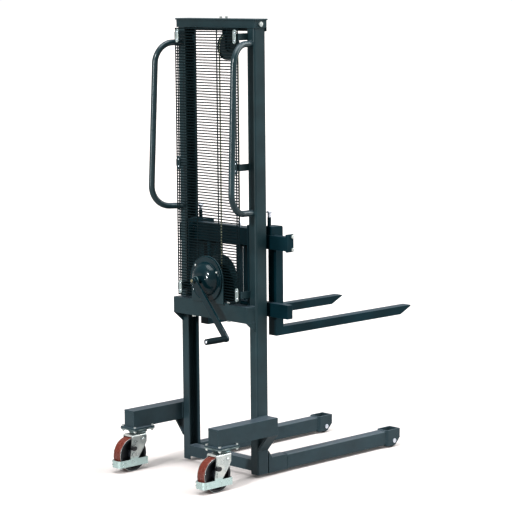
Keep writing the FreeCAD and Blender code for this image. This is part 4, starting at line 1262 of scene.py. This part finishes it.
@dataclass
class LiftingRope:
    """Wire rope from the drum over the pulley to the carriage."""

    palette: Palette
    diameter: float = 5.0 * MM
    lay: float = 32.0 * MM
    sides: int = 12
    turns: int = 3
    pitch: float = 5.8 * MM
    rise_steps: int = 60
    arc_steps: int = 40
    fall_steps: int = 80
    turn_steps: int = 48
    sleeve_sides: int = 20
    sleeve: Profile = ((3.4, 0.0), (4.6, 1.2), (4.8, 12.0), (4.6, 25.0), (3.2, 27.0))

    def build(self) -> None:
        """Make the run over the pulley, the fall, the turns on the drum and the end sleeve."""
        self._run()
        self._fall()
        self._winding()
        self._sleeve()
        LOG.info("lifting rope in three pieces, with a pressed sleeve at its end")

    def _rope(self, name: str, path: np.ndarray, reference: Axis, node: str) -> bpy.types.Object:
        """Make a piece of rope that stands for its CAD node.

        Args:
            name: the piece's name.
            path: its centre line.
            reference: a direction that the path never runs along.
            node: the CAD piece.

        Returns:
            The dressed piece.
        """
        piece = rope_object(name, path, self.diameter / 2, self.sides, reference, self.lay)
        self.palette.dress(piece, Slot.ROPE)
        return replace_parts(piece, node)

    def _run(self) -> None:
        """Straight up from the drum, then half a circle over the pulley."""
        low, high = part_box("rope_run")
        middle = middle_of("rope_run")
        radius = (high.y - low.y - self.diameter) / 2
        crown = high.z - self.diameter / 2 - radius
        rise = np.linspace(low.z, crown, self.rise_steps, endpoint=False)
        straight = points_of(middle.x, middle.y - radius, rise)
        angle = np.linspace(math.pi, 0.0, self.arc_steps)
        arc = points_of(
            middle.x, middle.y + radius * np.cos(angle), crown + radius * np.sin(angle)
        )
        path = np.concatenate([straight, arc])
        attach(self._rope("rope_over_pulley", path, ACROSS, "rope_run"), Body.FRAME.value)

    def _fall(self) -> None:
        """Straight down to the carriage, stretched between the two."""
        low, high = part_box("rope_fall")
        centre = middle_of("rope_fall")
        path = points_of(centre.x, centre.y, np.linspace(low.z, high.z, self.fall_steps))
        piece = self._rope("rope_to_carriage", path, ACROSS, "rope_fall")
        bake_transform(piece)

    def _winding(self) -> None:
        """A helix about the drum's axis, one pitch back in a turn, its ends straight."""
        low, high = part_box("rope_winding")
        radius = (high.x - low.x - self.diameter) / 2
        angle = np.linspace(0.0, -self.turns * math.tau, self.turns * self.turn_steps + 1)
        back = high.y - self.diameter / 2 + self.pitch * angle / math.tau
        height = middle_of("rope_drum").z
        helix = points_of(radius * np.cos(angle), back, height + radius * np.sin(angle))
        heading = np.array([0.0, -self.pitch / (math.tau * radius), -1.0])
        lead = heading * self.diameter / np.linalg.norm(heading)
        path = np.concatenate([[helix[0] - lead], helix, [helix[-1] + lead]])
        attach(self._rope("rope_turns", path, AHEAD, "rope_winding"), Body.DRUM.value)

    def _sleeve(self) -> None:
        """A sleeve pressed on the rope's lower end, standing on the carriage's anchor."""
        low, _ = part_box("rope_fall")
        centre = middle_of("rope_fall")
        foot = np.array([[centre.x, centre.y, low.z]])
        shape = turned(self.sleeve, foot, UP, self.sleeve_sides)
        self.palette.add("rope_sleeve", shape, Slot.STEEL, Body.CARRIAGE.value)


@dataclass
class BrakeCover:
    """Pressed cover of the winch's load brake: a round dome on a disc with a rolled rim."""

    palette: Palette
    rim: float = 6.0 * MM
    dome: float = 62.0 * MM
    nose: float = 18.0 * MM
    bore: float = 8.05 * MM
    roll: float = 1.5 * MM
    ledge: float = 1.5 * MM
    lip: float = 2.5 * MM
    swell_steps: int = 28
    swell_foot: float = 2.4
    swell_nose: float = 0.7
    crease: float = 50.0

    def build(self) -> None:
        """Turn the cover's section about the winch axis and roll a bead on its edge.

        Across the dome the height is rim + rise (1 - u^foot)^nose, where u runs from nought at
        the nose to one at the dome's foot.
        """
        low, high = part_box("brake_cover")
        radius = (high.x - low.x) / 2 + self.lip
        axis = (0.0, high.y, (low.z + high.z) / 2)
        rise = high.y - low.y - self.rim
        share = np.linspace(1.0, 0.0, self.swell_steps)
        swell = points_of(
            self.nose + (self.dome - self.nose) * share,
            self.rim + rise * (1.0 - share**self.swell_foot) ** self.swell_nose,
        )
        edge = [[radius, 0.0], [radius, self.rim], [self.dome + self.ledge, self.rim]]
        inside = [[self.bore, self.rim + rise], [self.bore, 0.0]]
        shell = hoop(np.concatenate([edge, swell, inside]), axis, REARWARD)
        bead = hoop(round_section(radius - self.roll, self.roll, self.rim), axis, REARWARD)
        self.palette.add(
            "brake_dome",
            joined(shell, bead),
            Slot.ENAMEL,
            Body.FRAME.value,
            crease=self.crease,
            node="brake_cover",
        )
        LOG.info("brake cover with a rolled rim")


@dataclass
class CrankFittings:
    """What holds the crank together: washers, nut and stud on the shaft, a rivet in the grip."""

    palette: Palette
    washer: Profile = ((11.4, 0.0), (11.8, 0.4), (11.6, 1.2), (8.0, 1.3))
    nut: Profile = ((10.416, 0.8), (11.2, 1.7), (11.2, 5.6), (10.08, 6.6), (6.2, 6.6))
    stud: Profile = ((5.6, 6.2), (5.6, 8.2), (4.6, 9.2), (2.0, 9.4))
    rivet: Profile = ((5.5, 0.0), (5.72, 0.6), (4.84, 1.6), (2.64, 2.3), (0.88, 2.5))
    rivet_sunk: float = 0.35 * MM
    collar: float = 13.4 * MM
    collar_thick: float = 2.2 * MM
    collar_back: float = 11.5 * MM
    washer_sides: int = 32
    nut_sides: int = 6
    stud_sides: int = 20
    collar_sides: int = 48

    def build(self) -> None:
        """Set the pieces on the arm's outer face and on the spindle's end."""
        low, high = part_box("crank_grip")
        shaft = np.array([[0.0, high.y, middle_of("rope_drum").z]])
        inboard = shaft[0] + np.array([0.0, self.collar_back, 0.0])
        section = round_section(self.collar, self.collar_thick)
        rings = joined(
            turned(self.washer, shaft, REARWARD, self.washer_sides),
            hoop(section, inboard, REARWARD, self.collar_sides),
        )
        nut = turned(self.nut, shaft, REARWARD, self.nut_sides)
        stud = turned(self.stud, shaft, REARWARD, self.stud_sides)
        add, crank, palette = self.palette.add, Body.CRANK.value, self.palette
        add("crank_nut", nut, Slot.ENAMEL, crank, crease=FINE_CREASE)
        add("crank_washers", rings, Slot.ZINC, crank, palette.plate_zinc, FINE_CREASE)
        add("crank_stud", stud, Slot.ZINC, crank, palette.yellow_zinc, FINE_CREASE)
        centre = middle_of("crank_grip")
        end = np.array([[centre.x, low.y + self.rivet_sunk, centre.z]])
        add("crank_spindle_rivet", turned(self.rivet, end, REARWARD), Slot.STEEL, crank)
        LOG.info("crank nut, washers, stud and spindle rivet")


@dataclass
class CastorTrim:
    """Small pieces of one castor: the wheel's rim rings, rivets of yoke and band, plate nuts."""

    palette: Palette
    side: Side
    core: float = 55.5 * MM
    lip: float = 60.4 * MM
    ring: float = 0.8 * MM
    wall: float = 0.7 * MM
    wheel_sides: int = 72
    plate_width: float = 80.0 * MM
    plate_thick: float = 5.0 * MM
    bolt_edge: float = 7.0 * MM
    nut: Profile = ((6.0, 0.0), (6.0, 4.25), (5.16, 5.0), (3.6, 5.0))
    nut_sides: int = 6
    stud: Profile = ((3.3, 0.0), (3.3, 7.5), (2.4, 8.5))
    stud_sides: int = 12
    cheek_out: float = 4.4 * MM
    rivet_ahead: float = 42.0 * MM
    rivet_height: float = 114.0 * MM
    rivet: Profile = (
        (7.0, 0.0), (7.0, 0.7), (6.2, 1.0), (4.4, 1.0), (4.2, 1.9), (3.2, 2.8), (1.2, 3.2),
    )
    band_places: Profile = ((9.0, 28.0), (9.0, 40.0), (30.0, 34.0))
    band_rivet: Profile = ((2.6, -0.4), (2.5, 0.3), (1.7, 0.8), (0.6, 1.0))
    band_sides: int = 14

    def build(self) -> None:
        """Make the wheel's rings, the yoke's rivets and the plate's nuts."""
        name = self.side.label
        low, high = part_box(f"{name}_wheel_tread")
        middle = middle_of(f"{name}_wheel_tread")
        wheel, thin = f"{name}_wheel", self.wall
        ring = round_section(self.lip, self.ring)
        wall = np.array(
            [[self.lip, -thin], [self.lip, thin], [self.core, thin], [self.core, -thin]]
        )
        rings, walls = (
            joined(*[
                hoop(section, (x, middle.y, middle.z), ACROSS, self.wheel_sides)
                for x in (low.x, high.x)
            ])
            for section in (ring, wall)
        )
        zinc = self.palette.clip_zinc
        self.palette.add(f"{name}_wheel_rim_rings", rings, Slot.STEEL, wheel, zinc)
        self.palette.add(f"{name}_wheel_side_walls", walls, Slot.CORE, wheel)
        self._rivets(name, middle)
        self._nuts(name)
        LOG.info("%s castor: rim rings, rivets and nuts", name)

    def _nuts(self, name: str) -> None:
        """Set nuts on stud ends under the four corners of the castor's plate.

        Args:
            name: the side's name.
        """
        low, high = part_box("castor_plates")
        start = low.x if self.side is Side.LEFT else high.x - self.plate_width
        edge, under = self.bolt_edge, high.z - self.plate_thick
        inner = (start + edge, start + self.plate_width - edge)
        rows = (low.y + edge, high.y - edge)
        corners = np.array([[x, y, under] for x in inner for y in rows])
        shape = joined(
            turned(self.nut, corners, DOWN, self.nut_sides),
            turned(self.stud, corners, DOWN, self.stud_sides),
        )
        self.palette.add(
            f"{name}_plate_nuts", shape, Slot.ZINC, Body.FRAME.value, crease=FINE_CREASE
        )

    def _rivets(self, name: str, middle: Vector) -> None:
        """Set collared rivets on the yoke's cheeks and small ones on the band's flanks.

        Args:
            name: the side's name.
            middle: middle of the wheel.
        """
        core_low, core_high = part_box(f"{name}_wheel_core")
        yoke_low, yoke_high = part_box(f"{name}_castor_yoke")
        cheek = (core_high.x - core_low.x) / 2 + self.cheek_out
        ahead, height = np.array(self.band_places).T * MM
        shapes = []
        for way, flank in ((-1.0, yoke_low.x), (1.0, yoke_high.x)):
            outward = (way, 0.0, 0.0)
            place = (middle.x + way * cheek, middle.y + self.rivet_ahead, self.rivet_height)
            band = points_of(flank, yoke_low.y + ahead, height)
            shapes.append(turned(self.rivet, np.array([place]), outward))
            shapes.append(turned(self.band_rivet, band, outward, self.band_sides))
        self.palette.add(f"{name}_yoke_rivets", joined(*shapes), Slot.ZINC, f"{name}_castor")


@dataclass
class WeldBeads:
    """Rippled fillet welds, painted over, where the frame's bars meet."""

    palette: Palette
    radius: float = 2.4 * MM
    seam: float = 1.4 * MM
    seam_short: float = 5.0 * MM
    ripple: float = 3.4 * MM
    ripple_depth: float = 0.14
    ripple_steps: int = 6
    fewest_steps: int = 12
    thin_end: float = 0.4
    taper_radii: float = 2.0
    sides: int = 8
    off_axis: Axis = (0.53, 0.61, 0.59)
    leg_height: float = 55.0 * MM
    shoe_length: float = 95.0 * MM
    beam_drop: float = 62.0 * MM
    tie_start: float = 2.0 * MM
    tube: float = 11.0 * MM
    collar: float = 11.6 * MM
    collar_steps: int = 144
    crease: float = 70.0

    def build(self) -> None:
        """Lay the beads of both sides and join them into one piece."""
        shapes = [shape for side in Side for shape in self._half(side.value)]
        beads = joined(*shapes)
        self.palette.add(
            "weld_beads", beads, Slot.PAINT, Body.FRAME.value, crease=self.crease
        )
        LOG.info("%d weld beads", len(shapes))

    def _half(self, sign: int) -> list[Shape]:
        """Lay the beads of one side, from the boxes of the bars that they join.

        Args:
            sign: the side's sign along X.

        Returns:
            A shape for each bead.
        """
        upright_low, upright_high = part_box("right_upright")
        bar_low, bar_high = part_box("winch_crossbar")
        _, beam_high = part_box("right_castor_beam")
        leg_low, leg_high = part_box("right_leg")
        _, tie_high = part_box("base_tie")
        handle_low, handle_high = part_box("right_handle")
        tip, web, rear, front = upright_low.x, upright_high.x, upright_low.y, upright_high.y
        bar_end, bar_foot, bar_top = bar_high.x, bar_low.z, bar_high.z
        beam_front, beam_top = beam_high.y, beam_high.z
        beam_foot = beam_top - self.beam_drop
        inner, sole, deck = leg_low.x, leg_low.z, leg_low.z + self.leg_height
        shoe, head, short = front + self.shoe_length, leg_high.y, self.seam_short
        fillets = [
            ((bar_end, rear, bar_foot), (bar_end, rear, bar_top)),
            ((tip, rear, bar_top), (bar_end, rear, bar_top)),
            ((tip, rear, bar_foot), (bar_end, rear, bar_foot)),
            ((web, rear, beam_top), (web, beam_front, beam_top)),
            ((web, rear, beam_top), (web, rear, beam_foot)),
            ((web, beam_front, beam_top), (web, beam_front, beam_foot)),
            ((tip, front, deck), (web, front, deck)),
            ((tip, rear + self.tie_start, tie_high.z), (tip, tie_high.y, tie_high.z)),
            ((inner, head, deck), (web, head, deck)),
            ((web, head, sole), (web, head, deck)),
            ((inner, head, sole), (inner, head, deck)),
        ]
        seams = [
            ((web, shoe, sole + short), (web, shoe, deck - short)),
            ((inner + short, shoe, deck), (web - short, shoe, deck)),
            ((inner, shoe, sole + short), (inner, shoe, deck - short)),
        ]
        roots = (handle_low.z + self.tube, handle_high.z - self.tube)
        shapes = [self._straight(sign, *line, self.radius) for line in fillets]
        shapes += [self._straight(sign, *line, self.seam) for line in seams]
        shapes += [self._collar(sign * (tip + web) / 2, rear, height) for height in roots]
        return shapes

    def _rippled(self, radius: float, phase: np.ndarray) -> np.ndarray:
        """Radius along a bead: radius (1 - depth + depth sin phase)."""
        return radius * (1.0 - self.ripple_depth + self.ripple_depth * np.sin(phase))

    def _straight(self, sign: int, start: Axis, end: Axis, radius: float) -> Shape:
        """Lay a bead along a straight joint, thinner towards both ends.

        Args:
            sign: the side's sign along X.
            start: the joint's first end on the right side.
            end: its other end.
            radius: the bead's full radius.

        Returns:
            Points and faces of a closed bead.
        """
        flip = np.array([sign, 1.0, 1.0])
        first, last = np.array(start) * flip, np.array(end) * flip
        length = float(np.linalg.norm(last - first))
        steps = max(self.fewest_steps, int(length / self.ripple * self.ripple_steps))
        run = np.linspace(0.0, length, steps)
        path = first + (last - first) * (run / length)[:, None]
        from_end = np.minimum(run, run[-1] - run)
        taper = np.clip(from_end / (self.taper_radii * radius), self.thin_end, 1.0)
        radii = self._rippled(radius, run / self.ripple * math.tau) * taper
        return capped(swept(path, radii, self.sides, self.off_axis)[None])

    def _collar(self, across: float, rear: float, height: float) -> Shape:
        """Lay a bead round a handle's tube where it meets the upright.

        Args:
            across: the tube's place along X.
            rear: the upright's rear face.
            height: the tube's height.

        Returns:
            Points and faces of a closed bead.
        """
        angle = np.linspace(0.0, math.tau, self.collar_steps)
        path = points_of(
            across + self.collar * np.cos(angle), rear, height + self.collar * np.sin(angle)
        )
        ripples = round(math.tau * self.collar / self.ripple)
        radii = self._rippled(self.radius, angle * ripples)
        return capped(swept(path, radii, self.sides, AHEAD)[None])


def bearing(azimuth: float, elevation: float) -> Vector:
    """The direction of a thing seen from the machine.

    Args:
        azimuth: degrees from straight behind the machine towards its right side.
        elevation: degrees above the floor.

    Returns:
        A direction of length one.
    """
    turn, rise = math.radians(azimuth), math.radians(elevation)
    level = math.cos(rise)
    return Vector((math.sin(turn) * level, -math.cos(turn) * level, math.sin(rise)))


@dataclass(frozen=True)
class Sun:
    """A far light: where it stands in degrees, its strength and the degrees that it spans."""

    name: str
    azimuth: float
    elevation: float
    strength: float
    softness: float
    on_matt: bool = True

    def build(self) -> None:
        """Make the lamp and point it at the machine."""
        light = bpy.data.lights.new(self.name, "SUN")
        light.energy = self.strength
        light.angle = math.radians(self.softness)
        lamp = bpy.data.objects.new(self.name, light)
        towards = -bearing(self.azimuth, self.elevation)
        lamp.rotation_euler = towards.to_track_quat("-Z", "Y").to_euler()
        lamp.visible_diffuse = self.on_matt
        bpy.context.scene.collection.objects.link(lamp)


@dataclass
class Studio:
    """Pale floor, white surroundings, soft lights and the camera at the photograph's view."""

    focal_px: float = 2056.2
    image_px: float = 512.0
    sensor: float = 36.0
    azimuth: float = 46.4287
    pitch: float = 7.6964
    roll: float = -0.5085
    position: Axis = (5.3897, -5.1889, 1.7702)
    far: float = 200.0
    floor_half: float = 60.0
    backdrop: float = 1.05
    mirror: float = 0.6
    fill: float = 0.10
    fill_tone: Colour = (0.45, 1.0, 1.0)
    white: Colour = (1.0, 1.0, 1.0)
    contrast: float = 0.8
    suns: tuple[Sun, ...] = (
        Sun("key_light", 12.0, 27.0, 3.1, 5.0),
        Sun("top_light", 40.0, 80.0, 3.9, 50.0),
        Sun("right_light", 145.0, 35.0, 4.2, 60.0),
        Sun("strip_light", -2.0, 6.0, 2.2, 7.0, on_matt=False),
    )

    def build(self) -> None:
        """Set the floor, the world, the lights and the camera."""
        self._floor()
        self._world()
        for sun in self.suns:
            sun.build()
        self._camera()
        LOG.info("studio set")

    def _floor(self) -> None:
        """A wide flat sheet under the wheels."""
        half = self.floor_half
        corners = points_of([-half, half, half, -half], [-half, -half, half, half], 0.0)
        floor = mesh_object("studio_floor", (corners, [[0, 1, 2, 3]]), None)
        floor.data.materials.append(PaleFloor().build())

    def _world(self) -> None:
        """White surroundings: full to the eye, dimmer in mirrors, hardly filling the shadows."""
        world = bpy.data.worlds.new("white_room")
        graph = Graph(world, "ShaderNodeOutputWorld")
        scattered, mirrored = graph.ray("Is Diffuse Ray"), graph.ray("Is Glossy Ray")
        filled = scattered * (self.fill - self.backdrop)
        strength = filled + mirrored * (self.mirror - self.backdrop) + self.backdrop
        tone = graph.mix(scattered, self.white, self.fill_tone)
        values = {"Color": tone, "Strength": strength}
        graph.close(graph.node("ShaderNodeBackground", None, values))
        scene = bpy.context.scene
        scene.world = world
        scene.view_settings.view_transform = "Standard"
        scene.view_settings.gamma = self.contrast

    def _camera(self) -> None:
        """The camera, from azimuth, pitch and roll about its own axis."""
        azimuth, roll = math.radians(self.azimuth), math.radians(self.roll)
        back = bearing(self.azimuth, self.pitch)
        right = Vector((math.cos(azimuth), math.sin(azimuth), 0.0))
        up = back.cross(right)
        turned_right = right * math.cos(roll) + up * math.sin(roll)
        turned_up = up * math.cos(roll) - right * math.sin(roll)
        data = bpy.data.cameras.new("photo_view")
        data.sensor_width = self.sensor
        data.lens = self.focal_px / self.image_px * self.sensor
        data.clip_end = self.far
        camera = bpy.data.objects.new("photo_view", data)
        axes = Matrix((turned_right, turned_up, back)).transposed().to_4x4()
        camera.matrix_world = Matrix.Translation(Vector(self.position)) @ axes
        bpy.context.scene.collection.objects.link(camera)
        bpy.context.scene.camera = camera


def clear_scene() -> None:
    """Remove what the start-up file put into the scene."""
    for item in list(bpy.data.objects):
        bpy.data.objects.remove(item)


def main() -> None:
    """Build the dressed machine in order and report each piece."""
    logging.basicConfig(level=logging.INFO, format="%(name)s: %(message)s")
    clear_scene()
    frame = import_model()
    palette = Palette().build()
    finish = CadFinish(palette, frame)
    finish.build()
    Reshaped(palette, finish).build()
    GuardScreen(palette).build()
    GuardClips(palette).build()
    LiftingRope(palette).build()
    BrakeCover(palette).build()
    CrankFittings(palette).build()
    for side in Side:
        CastorTrim(palette, side).build()
    WeldBeads(palette).build()
    Studio().build()


if __name__ == "__main__":
    main()
